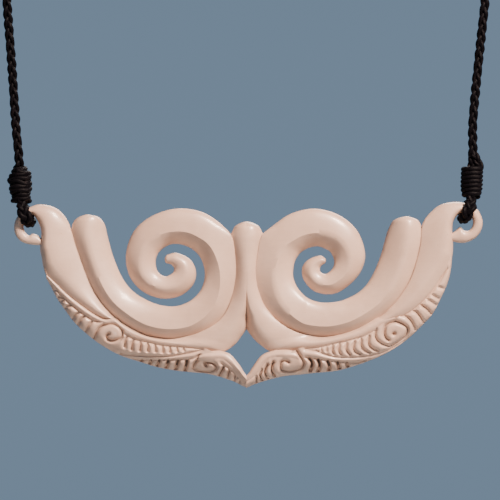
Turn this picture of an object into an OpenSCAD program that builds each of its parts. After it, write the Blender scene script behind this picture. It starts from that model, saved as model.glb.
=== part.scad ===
// Koru breastplate pendant: a plate of carved bone that hangs from a plaited cord.
// The origin is at the nape, under the clasp. Z is up, and the carved front faces -Y.
// "left" is -X, as seen from the front.

/* [Plate] */
// Thickness of the bone at its highest crests
plate_t = 6; // [5:0.5:7]
// Thickness of the bone at the hooks that the cord hangs from
hook_t = 3; // [2.6:0.2:3.2]
// Drop from the nape to the level of the hook holes
drop = 166; // [162:1:168]
// Width of the cuts between the ribs of the border
cut_w = 0.6; // [0.4:0.1:0.8]

/* [Cord] */
// Diameter of the plaited neck cord
cord_d = 2.2; // [1.8:0.1:2.2]
// Diameter of the binding that closes each eye
binding_d = 5.4; // [5:0.2:5.8]
// Number of turns in each binding
binding_turns = 8; // [6:1:10]

/* [Clasp] */
// Length of the barrel clasp
clasp_len = 16; // [14:1:18]
// Diameter of the barrel clasp at its middle
clasp_d = 6; // [5:0.5:6]

/* [Hidden] */

bone = [0.90, 0.82, 0.75];
waxed_black = [0.08, 0.07, 0.07];

// The tables' heights are drawn for a plate this thick
drawn_t = 6;
thickening = plate_t / drawn_t;

// How much of the plate's thickness is ground; the limbs stand on it
ground_t = 3.4 * thickening;
back_y = plate_t / 2;
ground_y = back_y - ground_t;
// How far a curl's boss is let in to the ground
root = 1;

// Limbs stand this far inside their outlines, so that a crease parts them, and their
// ends are pulled in by this share of a row
inset = 0.3;
tuck = 0.12;

// Sections for each row of the great koru, whose turns are tight, and the sections
// where its edge meets the wing and where it comes clear of the column
koru_steps = 2;
koru_meets_wing = 3;
koru_leaves_column = 31;

// How much higher the right hook and its eye sit than the left ones
right_raise = 0.9;

// Profiles across a limb. Columns: place from the outer edge (0) over the crest (1)
// to the inner edge (2), height above the ground as a share of the crest's.
PILLOW = [[0, -0.4], [0, 0.3], [0.35, 0.74], [1, 1], [1.65, 0.74], [2, 0.3], [2, -0.4]];
SLOPE = [[0, -0.4], [0, 0.9], [0.5, 1], [2, 0.15], [2, -0.4]];

// Each limb is a table with one row for each section, in millimetres from the middle
// of the plate at the level of the hook holes.
// Columns: outer edge x, z, inner edge x, z, place of the crest, crest height.

// The great koru: from the top of the side thumb, under the spiral, up beside the
// column, over the top and in to the eye of the spiral.
KORU = [
    [-38.4,   3.1, -36.6,   3.2, 0.50, 4.6],
    [-40.4,   2.0, -34.4,   2.2, 0.50, 5.3],
    [-41.2,  -0.5, -33.1,   0.0, 0.50, 5.7],
    [-40.6,  -3.8, -32.5,  -3.0, 0.48, 5.8],
    [-38.9,  -8.9, -31.3,  -7.0, 0.48, 5.8],
    [-37.0, -13.7, -29.2, -11.8, 0.50, 5.8],
    [-34.1, -18.3, -26.6, -15.0, 0.45, 5.9],
    [-29.9, -22.1, -22.8, -17.3, 0.40, 6.0],
    [-25.0, -24.9, -19.6, -18.4, 0.35, 6.0],
    [-19.0, -26.2, -16.4, -18.4, 0.33, 6.0],
    [-12.9, -25.6, -13.3, -17.2, 0.35, 6.0],
    [ -7.6, -23.0, -11.0, -15.0, 0.42, 6.0],
    [ -4.0, -18.5,  -9.9, -12.2, 0.48, 6.0],
    [ -2.6, -12.0,  -9.9,  -9.6, 0.52, 6.0],
    [ -2.8,  -6.5, -10.8,  -7.0, 0.55, 5.9],
    [ -3.8,  -1.8, -12.3,  -5.3, 0.58, 5.8],
    [ -6.6,   1.4, -13.8,  -4.4, 0.62, 5.8],
    [-11.0,   3.8, -15.6,  -3.9, 0.64, 5.8],
    [-16.6,   4.5, -17.6,  -3.9, 0.64, 5.8],
    [-22.2,   2.8, -19.4,  -4.6, 0.60, 5.8],
    [-26.4,  -0.7, -20.8,  -5.9, 0.52, 5.7],
    [-28.2,  -6.0, -21.4,  -7.6, 0.45, 5.6],
    [-27.5, -11.0, -21.2,  -9.6, 0.45, 5.5],
    [-24.8, -14.5, -20.3, -11.0, 0.50, 5.4],
    [-20.4, -16.4, -19.0, -11.4, 0.55, 5.3],
    [-15.8, -15.9, -17.9, -11.0, 0.55, 5.2],
    [-12.7, -13.5, -17.2, -10.4, 0.50, 5.1],
    [-12.0, -10.3, -17.0,  -9.7, 0.48, 5.0],
    [-13.4,  -7.5, -17.2,  -9.1, 0.48, 4.9],
    [-16.6,  -6.1, -17.9,  -8.7, 0.50, 4.8],
    [-18.8,  -6.9, -18.5,  -8.6, 0.50, 4.5]
];

// The wing, from its rounded top down to where it runs out beside the small curl
WING = [
    [-49.2,   5.7, -46.8,   5.5, 0.50, 4.4],
    [-50.0,   4.0, -43.6,   3.6, 0.50, 5.0],
    [-49.2,   1.6, -41.9,   1.4, 0.50, 5.4],
    [-48.3,  -1.0, -41.4,  -0.6, 0.50, 5.6],
    [-48.4,  -4.0, -40.8,  -3.4, 0.45, 5.6],
    [-48.0,  -7.2, -39.8,  -6.4, 0.42, 5.6],
    [-47.2, -10.2, -38.5,  -9.9, 0.40, 5.6],
    [-45.4, -12.2, -37.1, -13.3, 0.45, 5.5],
    [-42.4, -15.0, -35.5, -16.4, 0.48, 5.4],
    [-38.9, -17.8, -33.7, -18.9, 0.50, 5.2],
    [-35.6, -19.9, -32.2, -20.2, 0.50, 4.9]
];

// The column, one limb as far as the groove that divides it
COLUMN = [
    [ 1.0,   1.5,  -1.0,   1.4, 0.50, 4.8],
    [ 2.4,   0.2,  -2.4,   0.2, 0.50, 5.4],
    [ 3.4,  -1.6,  -3.4,  -1.6, 0.50, 5.8],
    [ 3.0,  -4.5,  -3.0,  -4.5, 0.50, 6.0],
    [ 2.4,  -8.0,  -2.4,  -8.0, 0.50, 6.0],
    [ 2.3, -12.0,  -2.3, -12.0, 0.50, 5.9],
    [ 3.3, -17.4,  -3.3, -17.4, 0.50, 5.6]
];

// Half the column's foot, which swings out under the koru, narrows to a lip and runs
// up the wing above its ribs. The outer edge is the one beside the koru.
CRESCENT = [
    [ -3.5, -17.8,   0.0, -18.0, 0.50, 5.6],
    [ -5.1, -20.6,   0.0, -21.4, 0.50, 5.6],
    [ -7.2, -22.9,  -0.2, -24.3, 0.50, 5.5],
    [ -9.6, -24.6,  -2.4, -27.0, 0.50, 5.4],
    [-12.2, -25.6,  -4.2, -28.8, 0.50, 5.3],
    [-15.0, -26.1,  -9.4, -28.9, 0.45, 5.1],
    [-18.0, -26.2, -14.0, -28.0, 0.45, 4.9],
    [-22.0, -25.8, -19.6, -27.5, 0.45, 4.8],
    [-25.6, -24.8, -24.6, -26.4, 0.45, 4.8],
    [-28.8, -23.0, -28.0, -24.7, 0.45, 4.8],
    [-31.4, -21.2, -31.0, -22.7, 0.45, 4.8],
    [-34.0, -20.5, -34.4, -21.8, 0.45, 4.8],
    [-36.8, -19.4, -37.6, -20.6, 0.45, 4.7],
    [-40.0, -17.2, -41.0, -18.3, 0.45, 4.6],
    [-43.0, -14.6, -44.1, -15.5, 0.45, 4.4],
    [-46.0, -11.7, -46.9, -12.3, 0.45, 4.2]
];

// The border falls away from the lip to the rim, in bands. Their outer edge is the
// lip's and their inner edge the rim.
BAND_WING = [
    [-44.6, -14.9, -45.5, -14.6, 0.50, 4.2],
    [-42.0, -17.3, -44.0, -17.3, 0.50, 4.5],
    [-39.4, -19.4, -41.7, -20.7, 0.50, 4.6],
    [-36.6, -21.1, -38.9, -23.8, 0.50, 4.6],
    [-35.2, -22.2, -36.2, -26.1, 0.50, 4.6]
];
BAND_UPPER = [
    [-29.4, -23.5, -30.6, -29.2, 0.50, 4.7],
    [-26.0, -25.6, -26.6, -29.8, 0.50, 4.7],
    [-21.0, -27.0, -21.4, -30.1, 0.50, 4.7],
    [-16.0, -27.7, -16.2, -29.7, 0.50, 4.7],
    [-12.4, -28.2, -12.5, -29.0, 0.50, 4.6]
];
RIB_LIP = [
    [-11.0, -28.9, -12.0, -30.4, 0.50, 4.6],
    [-14.4, -29.4, -14.6, -30.8, 0.50, 4.6],
    [-19.4, -30.0, -19.4, -31.2, 0.50, 4.5],
    [-24.6, -29.9, -24.6, -31.0, 0.50, 4.3],
    [-28.6, -29.5, -28.8, -30.2, 0.50, 4.0]
];
BAND_LOWER = [
    [-12.2, -30.4, -12.2, -33.9, 0.50, 4.5],
    [-16.0, -30.8, -16.0, -33.5, 0.50, 4.4],
    [-20.4, -31.1, -20.6, -32.7, 0.50, 4.3],
    [-24.6, -30.9, -25.0, -31.6, 0.50, 4.1]
];

// One arm of the V below the diamond, and the rim under it
VEE = [
    [-11.4, -30.3, -12.1, -31.9, 0.50, 4.6],
    [ -9.4, -28.9,  -9.6, -31.3, 0.50, 5.1],
    [ -6.8, -28.8,  -6.9, -31.5, 0.50, 5.3],
    [ -4.3, -29.1,  -4.9, -32.3, 0.50, 5.3],
    [ -2.4, -31.2,  -3.5, -33.7, 0.50, 5.3],
    [ -1.0, -33.2,  -1.8, -35.3, 0.50, 5.3],
    [  0.0, -34.8,   0.0, -36.6, 0.50, 5.2]
];
VEE_RIM = [
    [ -7.0, -31.5,  -7.2, -34.9, 0.50, 4.4],
    [ -4.9, -32.3,  -5.2, -35.4, 0.50, 4.4],
    [ -3.3, -33.9,  -3.4, -36.1, 0.50, 4.4],
    [ -1.8, -35.3,  -1.6, -36.9, 0.50, 4.3]
];
VEE_TIP = [
    [ -1.6, -35.5,  -1.6, -36.9, 0.50, 4.3],
    [  0.0, -36.6,   0.0, -37.6, 0.50, 4.3],
    [  1.6, -35.5,   1.6, -36.9, 0.50, 4.3]
];

// The hook's limb. Columns: x, z, width. It springs from the wing's top, goes round
// the hole and ends in a bead against the wing's side.
HOOK = [
    [-48.7,  4.0, 2.6],
    [-50.8,  4.1, 2.2],
    [-52.2,  3.5, 2.1],
    [-53.2,  2.2, 2.1],
    [-53.6,  0.6, 2.1],
    [-53.3, -0.9, 2.2],
    [-52.4, -2.2, 2.2],
    [-51.0, -2.8, 2.1],
    [-49.7, -2.6, 2.7],
    [-48.3, -3.4, 1.6]
];

// Small curls carved in the border. Columns: x, z, radius, height.
CURLS = [
    [-32.6, -25.3, 2.9, 4.7],
    [ -9.3, -32.9, 1.9, 4.5]
];

// Cuts that part the ribs of a band: first and last place along the band's table,
// number of cuts, and how far along the table each cut leans
RIBS_WING = [0.7, 3.3, 5, 0.25];
RIBS_UPPER = [0.3, 2.8, 7, 0.05];
RIBS_LOWER = [0.3, 2.7, 6, 0.2];
RIBS_VEE = [0.5, 2.5, 3, 0.1];

// Bindings. Columns: foot x, z, head x, z, from the level of the hook holes.
BINDINGS = [[-52.9, 6.0, -53.5, 14.9], [52.8, 6.9, 53.1, 16.3]];

// The eye's strand below the binding: down in front of the hook, through the hole and
// up behind it. Columns: x, y, z from the level of the hook holes, on the left.
EYE = [
    [-52.80, -1.75, 5.20],
    [-52.65, -2.40, 4.75],
    [-52.45, -2.90, 4.20],
    [-52.15, -3.00, 3.40],
    [-51.80, -3.00, 2.70],
    [-51.50, -2.75, 2.00],
    [-51.20, -2.00, 1.30],
    [-51.00, -0.70, 0.90],
    [-50.90,  0.70, 0.90],
    [-50.90,  2.00, 1.30],
    [-51.05,  2.75, 2.00],
    [-51.35,  3.00, 2.70],
    [-51.70,  3.00, 3.40],
    [-52.10,  2.95, 4.20],
    [-52.45,  2.45, 4.75],
    [-52.70,  1.75, 5.20]
];

// The cords' routes, from the head of each binding to the clasp. Columns: x, z.
ROUTE_LEFT = [
    [-54.2, -142], [-55, -130], [-56, -117], [-57, -104], [-59, -88], [-61, -72],
    [-61.5, -57], [-60, -43], [-55, -30], [-47, -18], [-36, -8], [-23, -1]
];
ROUTE_RIGHT = [
    [53.2, -141], [54.2, -130], [55.6, -117], [57, -104], [59, -88], [61, -72],
    [61.5, -57], [60, -43], [55, -30], [47, -18], [36, -8], [23, -1]
];

// Sides of the rings that a cord and an eye's strand are built from, and how far each
// strand runs from the middle where it enters the binding
cord_sides = 8;
eye_sides = 7;
strand_y = cord_d * 0.6;

clasp_z = clasp_d / 2;
clasp_neck_d = cord_d + 1.6;

// One value between b and c on a smooth curve through a, b, c and d
function smooth(a, b, c, d, t) =
    b + 0.5 * t * (c - a + t * (2 * a - 5 * b + 4 * c - d + t * (3 * (b - c) + d - a)));

// The row of a table at a place that may lie between two rows
function row_at(rows, s) =
    let (last = len(rows) - 1, i = min(floor(s), last - 1))
    smooth(rows[max(i - 1, 0)], rows[i], rows[i + 1], rows[min(i + 2, last)], s - i);

// A table with some more rows between its own, and its ends pulled in by tuck rows
function refine(rows, steps, tuck = 0) =
    let (last = len(rows) - 1, count = last * steps)
    [for (k = [0 : count]) row_at(rows, tuck + (last - 2 * tuck) * k / count)];

// An edge point of a row, moved in from its outline
function inset_row(row) =
    let (a = [row[0], row[1]], b = [row[2], row[3]], step = inset * unit(b - a))
    concat(a + step, b - step, [row[4], row[5]]);

// How far a crest stands above the ground, from its height in a table
function rise(height) = height * thickening - ground_t;

// Points of one section of a limb
function section(row, profile) =
    [for (p = profile)
        let (u = p[0] < 1 ? p[0] * row[4] : row[4] + (p[0] - 1) * (1 - row[4]))
        [row[0] + (row[2] - row[0]) * u, ground_y - p[1] * rise(row[5]),
         row[1] + (row[3] - row[1]) * u]];

// A point on a band's face, at a place along it and a share of its width
function on_band(rows, s, share) =
    let (row = row_at(rows, s))
    [row[0] + (row[2] - row[0]) * share,
     ground_y - rise(row[5]) * (1.1 - 0.95 * share),
     row[1] + (row[3] - row[1]) * share];

function unit(v) = v / norm(v);

// Direction of a path at one of its points
function heading(path, i) = unit(path[min(i + 1, len(path) - 1)] - path[max(i - 1, 0)]);

// Points of a ring square to a path, turned so that one axis lies along flat
function ring(path, i, d, sides, flat) =
    let (u = unit(cross(heading(path, i), flat)), v = cross(u, heading(path, i)))
    [for (k = [0 : sides - 1])
        let (angle = 360 * (k + 0.5) / sides)
        path[i] + d / 2 * (cos(angle) * u + sin(angle) * v)];

// A closed skin over a row of rings that have the same number of points. Where the
// rings turn against each other, its four-sided faces can be split into triangles.
module skin(rings, split = false) {
    n = len(rings[0]);
    last = len(rings) - 1;
    sides = [for (i = [0 : last - 1]) for (k = [0 : n - 1])
        let (a = i * n + k, b = i * n + (k + 1) % n)
        each split ? [[a, b, b + n], [a, b + n, a + n]] : [[a, b, b + n, a + n]]];
    start = [for (k = [0 : n - 1]) n - 1 - k];
    end = [for (k = [0 : n - 1]) last * n + k];
    polyhedron([for (r = rings) each r], concat([start], sides, [end]), convexity = 6);
}

// A tube along a path
module tube(path, d, sides, flat, split = false) {
    skin([for (i = [0 : len(path) - 1]) ring(path, i, d, sides, flat)], split);
}

// A limb of the carving, swept through its sections
module limb(rows, profile = PILLOW, steps = 1) {
    skin([for (row = refine(rows, steps, tuck)) section(inset_row(row), profile)]);
}

// A band of the border, with the cuts that part its ribs
module band(rows, cuts) {
    difference() {
        limb(rows, SLOPE);
        for (k = [0 : cuts[2] - 1]) {
            s = cuts[0] + (cuts[1] - cuts[0]) * k / (cuts[2] - 1);
            tube([on_band(rows, s, -0.25), on_band(rows, s + cuts[3], 1.2)], cut_w, 4, [0, 1, 0]);
        }
    }
}

// Points of one edge of a limb, from one row to another: its outer edge is column 0,
// its inner edge column 2
function edge(rows, column, from, to) =
    [for (k = [from : to < from ? -1 : 1 : to]) [rows[k][column], rows[k][column + 1]]];

// An outline's other half
function mirrored(points) =
    [for (k = [len(points) - 1 : -1 : 0]) [-points[k][0], points[k][1]]];

// One bead of the hook: a short post with a softened front and back
module hook_bead(row) {
    translate([row[0], 0, row[1]]) rotate([90, 0, 0]) {
        cylinder(h = hook_t, d = row[2] * 0.7, center = true, $fn = 8);
        cylinder(h = hook_t * 0.6, d = row[2], center = true, $fn = 8);
    }
}

module hook() {
    for (i = [0 : len(HOOK) - 2]) {
        hull() {
            hook_bead(HOOK[i]);
            hook_bead(HOOK[i + 1]);
        }
    }
}

// A small curl: a low boss with a spiral cut in it
module curl(c) {
    path = [for (a = [0 : 45 : 450])
        let (r = c[2] * (0.2 + 0.5 * a / 450))
        [c[0] + r * cos(a), ground_y - rise(c[3]), c[1] + r * sin(a)]];
    difference() {
        translate([c[0], ground_y + root, c[1]]) rotate([90, 0, 0]) hull() {
            cylinder(h = root + rise(c[3]) * 0.3, r = c[2] - inset, $fn = 16);
            cylinder(h = root + rise(c[3]), r = c[2] * 0.6, $fn = 16);
        }
        tube(path, cut_w, 4, [0, 1, 0]);
    }
}

// The plate's outline, from the column's top round the left half to the tip
koru_fine = refine(KORU, koru_steps);
koru_end = len(koru_fine) - 1;
HALF_OUTLINE = concat(
    edge(COLUMN, 2, 0, 1),
    edge(koru_fine, 0, koru_leaves_column, koru_end),
    edge(koru_fine, 2, koru_end, 0),
    edge(koru_fine, 0, 0, koru_meets_wing),
    [[-41.5, 0.3]],
    edge(WING, 2, 2, 0),
    edge(WING, 0, 0, 6),
    [[-46.6, -12.4]],
    edge(BAND_WING, 2, 0, 4),
    [[-34.6, -27.1], [-32.6, -28.3], [-30.0, -29.6], [-27.4, -30.8]],
    edge(BAND_LOWER, 2, 3, 0),
    [[-9.4, -34.6]],
    edge(VEE_RIM, 2, 0, 3),
    [[0, -37.7]]
);
DIAMOND = [[0, -24.0], [-2.4, -27.0], [-4.1, -28.8], [-2.4, -31.2], [-1.0, -33.2],
           [0, -34.6], [1.0, -33.2], [2.4, -31.2], [4.1, -28.8], [2.4, -27.0]];

// The ground that the limbs stand on, with the plate's outline and its open diamond
module ground() {
    translate([0, back_y, 0]) rotate([90, 0, 0]) linear_extrude(ground_t)
        difference() {
            polygon(concat(HALF_OUTLINE, mirrored(edge(HALF_OUTLINE, 0, 0, len(HALF_OUTLINE) - 2))));
            polygon(DIAMOND);
        }
}

// The limbs of the left half, with its hook raised by some amount
module half_limbs(raise) {
    limb(KORU, PILLOW, koru_steps);
    limb(WING);
    limb(CRESCENT);
    band(BAND_WING, RIBS_WING);
    band(BAND_UPPER, RIBS_UPPER);
    limb(RIB_LIP);
    band(BAND_LOWER, RIBS_LOWER);
    limb(VEE);
    band(VEE_RIM, RIBS_VEE);
    for (c = CURLS) curl(c);
    translate([0, 0, raise]) hook();
}

module breastplate() {
    color(bone) translate([0, 0, -drop]) {
        ground();
        half_limbs(0);
        mirror([1, 0, 0]) half_limbs(right_raise);
        limb(COLUMN);
        limb(VEE_TIP, SLOPE);
    }
}

// The doubled end of the cord that holds a hook, with both strands square to the foot
// of the binding that closes it
module eye(side, binding_row) {
    raise = side < 0 ? 0 : right_raise;
    foot = [binding_row[0], 0, binding_row[1] - drop];
    down = unit(foot - [binding_row[2], 0, binding_row[3] - drop]);
    front = foot - [0, strand_y, 0];
    back = foot + [0, strand_y, 0];
    loop = [for (p = EYE) [-side * p[0], p[1], p[2] + raise - drop]];
    path = concat([front, front + 0.4 * down], loop, [back + 0.4 * down, back]);
    color(waxed_black) tube(path, cord_d, eye_sides, [1, 0, 0], split = true);
}

// The turns of thread that close the eye, as a stack of beads round the cord
module binding(row) {
    length = norm([row[2] - row[0], row[3] - row[1]]);
    lean = atan2(row[2] - row[0], row[3] - row[1]);
    pitch = length / binding_turns;
    color(waxed_black) translate([row[0], 0, row[1] - drop]) rotate([0, lean, 0])
        rotate_extrude($fn = 32) intersection() {
            union() {
                square([binding_d / 2 - pitch / 2, length]);
                for (k = [0 : binding_turns - 1]) {
                    translate([binding_d / 2 - pitch / 2, (k + 0.5) * pitch])
                        circle(d = pitch, $fn = 16);
                }
            }
            square([binding_d, length]);
        }
}

// The neck cord, from the head of its binding to the end of the clasp
module cord(side, binding_row, route) {
    foot = [binding_row[0], 0, binding_row[1] - drop];
    start = [binding_row[2], 0, binding_row[3] - drop];
    stem = start + 3 * unit(start - foot);
    end = [side * clasp_len / 2, 0, clasp_z];
    last_bend = end + [side * 5, 0, 0];
    path = concat([start, stem], refine([for (p = route) [p[0], 0, p[1]]], 2),
                  [last_bend, end]);
    color(waxed_black) tube(path, cord_d, cord_sides, [0, 1, 0]);
}

// The clasp that hides behind the neck: a barrel with a collar at each end
module barrel_clasp() {
    collar = 1.5;
    color(bone) translate([-clasp_len / 2, 0, clasp_z]) rotate([0, 90, 0])
        rotate_extrude($fn = 48) polygon([
            [0, 0],
            [clasp_neck_d / 2, 0],
            [clasp_neck_d / 2, collar],
            [clasp_d / 2, clasp_len * 0.35],
            [clasp_d / 2, clasp_len * 0.65],
            [clasp_neck_d / 2, clasp_len - collar],
            [clasp_neck_d / 2, clasp_len],
            [0, clasp_len]
        ]);
}

breastplate();
eye(-1, BINDINGS[0]);  // eye_left
eye(1, BINDINGS[1]);  // eye_right
binding(BINDINGS[0]);  // binding_left
binding(BINDINGS[1]);  // binding_right
cord(-1, BINDINGS[0], ROUTE_LEFT);  // cord_left
cord(1, BINDINGS[1], ROUTE_RIGHT);  // cord_right
barrel_clasp();
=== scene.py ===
# %% [markdown]
# Koru breastplate pendant
# This lesson builds a carved bone breastplate pendant on its black neck cord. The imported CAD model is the
# fixed frame: it gives the place and the size of everything. Blender adds what a first look at the real
# thing shows, which is the flow of the carving, the cuts of the border, the plait of the cord and the
# finish of polished bone. Lengths in the tables are millimetres, and x and z are counted from the middle
# of the plate at the level of the hook holes, because that is how a carver would mark out the blank.

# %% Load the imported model
import bpy
import numpy as np
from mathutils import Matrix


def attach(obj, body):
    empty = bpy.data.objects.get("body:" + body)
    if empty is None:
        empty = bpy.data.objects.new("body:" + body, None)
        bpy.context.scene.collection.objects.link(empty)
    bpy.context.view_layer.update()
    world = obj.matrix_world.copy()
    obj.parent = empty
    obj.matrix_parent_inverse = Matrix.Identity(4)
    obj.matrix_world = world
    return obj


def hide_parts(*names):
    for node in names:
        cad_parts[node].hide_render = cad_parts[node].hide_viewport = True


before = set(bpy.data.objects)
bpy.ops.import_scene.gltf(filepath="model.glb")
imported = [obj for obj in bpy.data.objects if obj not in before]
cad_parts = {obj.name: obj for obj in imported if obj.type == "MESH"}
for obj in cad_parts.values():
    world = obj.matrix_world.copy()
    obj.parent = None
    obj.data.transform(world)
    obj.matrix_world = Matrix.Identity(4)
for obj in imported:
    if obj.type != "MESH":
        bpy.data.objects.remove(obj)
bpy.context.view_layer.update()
MM = 0.001
DROP = 166.0

# %% [markdown]
# The camera
# The photograph looks straight at the plate from the front, with hardly any perspective. A long lens from
# well back gives the same look. The picture is square, and its width takes in 117.5 mm at the plate, so the
# focal length follows from the distance: sensor width times distance over the width that is seen.

# %% Set up the camera
def placed(name, data):
    """A new object in the scene that holds a mesh, a light or a camera."""
    item = bpy.data.objects.new(name, data)
    bpy.context.scene.collection.objects.link(item)
    return item


PICTURE_MIDDLE = (0.82, -5.17)
PICTURE_WIDTH = 117.5
CAMERA_BACK = 1200.0
SENSOR = 36.0

camera_data = bpy.data.cameras.new("camera")
camera_data.sensor_width = SENSOR
camera_data.lens = SENSOR * CAMERA_BACK / PICTURE_WIDTH
camera = placed("camera", camera_data)
camera.location = (PICTURE_MIDDLE[0] * MM, -CAMERA_BACK * MM, (PICTURE_MIDDLE[1] - DROP) * MM)
camera.rotation_euler = (np.pi / 2, 0, 0)
bpy.context.scene.camera = camera
print("lens", round(camera_data.lens, 1), "mm")

# %% [markdown]
# From arrays to a mesh
# Every new piece here is a surface worked out with numpy. A grid of points, rows by columns, becomes a mesh
# with four-sided faces between neighbours. Where the columns go round a limb or a thread they join up, and
# the first and the last row are closed with a fan of triangles, so each piece is a closed solid.

# %% Grids, closed tubes and new pieces
def grid_faces(rows, columns, joined):
    """Faces of a grid of points. Face (i, j) uses points (i, j), (i, j+1), (i+1, j+1) and (i+1, j);
    if joined, column j+1 after the last one is column 0 again."""
    across = columns if joined else columns - 1
    i, j = np.meshgrid(np.arange(rows - 1), np.arange(across), indexing="ij")
    right = (j + 1) % columns
    corners = [i * columns + j, i * columns + right, (i + 1) * columns + right, (i + 1) * columns + j]
    return np.stack(corners, axis=-1).reshape(-1, 4)


def closed_tube(rings):
    """Points and faces of a tube through rings, an array (rows, points on a ring, 3). Each end is closed
    by triangles from the end ring's mean point."""
    rows, count, _ = rings.shape
    points = np.concatenate([rings.reshape(-1, 3), [rings[0].mean(0)], [rings[-1].mean(0)]])
    k = np.arange(count)
    after = (k + 1) % count
    first = np.stack([np.full(count, rows * count), after, k], axis=1)
    base = (rows - 1) * count
    last = np.stack([np.full(count, rows * count + 1), base + k, base + after], axis=1)
    return points, [grid_faces(rows, count, True), first, last]


def volume_sign(points, faces):
    """Whether faces look outwards: the sum, over all faces, of corner 0 dot (corner 1 cross corner 2),
    counted twice for a face of four corners, is six times the volume."""
    total = 0.0
    for group in faces:
        for k in range(1, group.shape[1] - 1):
            a, b, c = points[group[:, 0]], points[group[:, k]], points[group[:, k + 1]]
            total += np.einsum("ij,ij->i", a, np.cross(b, c)).sum()
    return np.sign(total)


def mesh_of(name, parts):
    """A mesh from several (points, faces) parts in millimetres, lowered by DROP to the CAD model's frame
    and scaled to metres. Parts that are inside out are turned."""
    points, polygons, start = [], [], 0
    for part_points, part_faces in parts:
        turned = volume_sign(part_points, part_faces) < 0
        for group in part_faces:
            polygons.append((group[:, ::-1] if turned else group) + start)
        points.append(part_points)
        start += len(part_points)
    points = (np.concatenate(points) - [0, 0, DROP]) * MM
    sizes = np.concatenate([np.full(len(group), group.shape[1]) for group in polygons])
    corners = np.concatenate([group.ravel() for group in polygons])
    mesh = bpy.data.meshes.new(name)
    mesh.vertices.add(len(points))
    mesh.vertices.foreach_set("co", points.astype(np.float32).ravel())
    mesh.loops.add(len(corners))
    mesh.loops.foreach_set("vertex_index", corners.astype(np.int32))
    mesh.polygons.add(len(sizes))
    mesh.polygons.foreach_set("loop_start", np.concatenate([[0], np.cumsum(sizes)[:-1]]).astype(np.int32))
    mesh.polygons.foreach_set("use_smooth", np.ones(len(sizes), bool))
    mesh.update(calc_edges=True)
    mesh.validate()
    return mesh


def new_piece(name, parts):
    """A new object with a mesh made of the parts."""
    piece = placed(name, mesh_of(name, parts))
    print(name, len(piece.data.vertices), "points", len(piece.data.polygons), "faces")
    return piece


# %% [markdown]
# Smooth lines through a few points
# The carver's lines are given by a few points each. A Catmull-Rom curve goes through all of them: between
# two points it takes its direction from the neighbours on both sides. The same formula smooths the tables
# of a carved limb, row by row, so it works on rows with any number of columns.

# %% Curves through points
FINE = 40


def smooth_rows(table, places):
    """Rows of a table at places that may lie between its rows. With a, b, c, d the four rows round a
    place and t the share of the way from b to c, the row is
    b + t/2 * (c - a + t * (2a - 5b + 4c - d + t * (3b - 3c + d - a)))."""
    rows = np.asarray(table, float)
    last = len(rows) - 1
    index = np.clip(np.floor(places).astype(int), 0, last - 1)
    t = (places - index)[:, None]
    a, b = rows[np.maximum(index - 1, 0)], rows[index]
    c, d = rows[index + 1], rows[np.minimum(index + 2, last)]
    return b + 0.5 * t * (c - a + t * (2 * a - 5 * b + 4 * c - d + t * (3 * (b - c) + d - a)))


def lengths_along(points):
    """Distance along a line of points, from its first point to each."""
    steps = np.linalg.norm(np.diff(points, axis=0), axis=1)
    return np.concatenate([[0.0], np.cumsum(steps)])


def even_line(points, spacing):
    """A smooth curve through points, with new points at equal distances along it, spacing apart."""
    fine = smooth_rows(points, np.linspace(0, len(points) - 1, FINE * len(points)))
    along = lengths_along(fine)
    wanted = np.linspace(0, along[-1], int(round(along[-1] / spacing)) + 1)
    return np.stack([np.interp(wanted, along, fine[:, k]) for k in range(fine.shape[1])], axis=1)


def headings(line):
    """Unit direction of a line at each of its points."""
    ahead = np.gradient(line, axis=0)
    return ahead / np.linalg.norm(ahead, axis=1, keepdims=True)


# %% [markdown]
# The neck cord
# The cord is a plait of three waxed threads, about 2.2 mm across. It could be one tube with a bump
# texture, but its outline against the light is a row of bumps, so each thread is made. In a flat plait
# every thread swings from side to side, and twice as fast to the front and back, a third of a repeat
# after its neighbour. The routes are those of the CAD solids: up from each binding, round the neck in
# one plain loop and into the clasp.

# %% Threads and plaits
THREAD_STEP = 0.25
PLY_HEIGHT = 0.09


def thread(line, radius, reference, lay=2.4, sides=12):
    """A thread twisted from three plies along a line: rings square to the line, whose radius at an angle
    is radius * (1 + 0.09 * cos(3 * angle - turn)), where turn grows by a full turn every lay mm."""
    ahead = headings(line)
    across = np.cross(ahead, reference)
    across /= np.linalg.norm(across, axis=1, keepdims=True)
    up = np.cross(across, ahead)
    angle = 2 * np.pi * np.arange(sides) / sides
    turn = 2 * np.pi * lengths_along(line)[:, None] / lay
    reach = np.reshape(radius, (-1, 1)) * (1 + PLY_HEIGHT * np.cos(3 * angle - turn))
    rings = (line[:, None, :] + (reach * np.cos(angle))[..., None] * across[:, None, :]
             + (reach * np.sin(angle))[..., None] * up[:, None, :])
    return closed_tube(rings)


def plait(line, side, swing, depth, radius, repeat, start):
    """Three threads along a line. At distance s and for thread k, with phase
    p = 2 pi (s / repeat + start + k / 3), the thread is swing * sin(p) to the side and
    depth * sin(2p) forward. The swing and the radius may vary along the line."""
    ahead = headings(line)
    side = side - ahead * (ahead * side).sum(axis=1, keepdims=True)
    side /= np.linalg.norm(side, axis=1, keepdims=True)
    forward = np.cross(side, ahead)
    parts = []
    for k in range(3):
        phase = 2 * np.pi * (lengths_along(line) / repeat + start + k / 3)
        middle = line + (swing * np.sin(phase))[:, None] * side
        parts.append(thread(middle + (depth * np.sin(2 * phase))[:, None] * forward, radius, side))
    return parts


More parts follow.
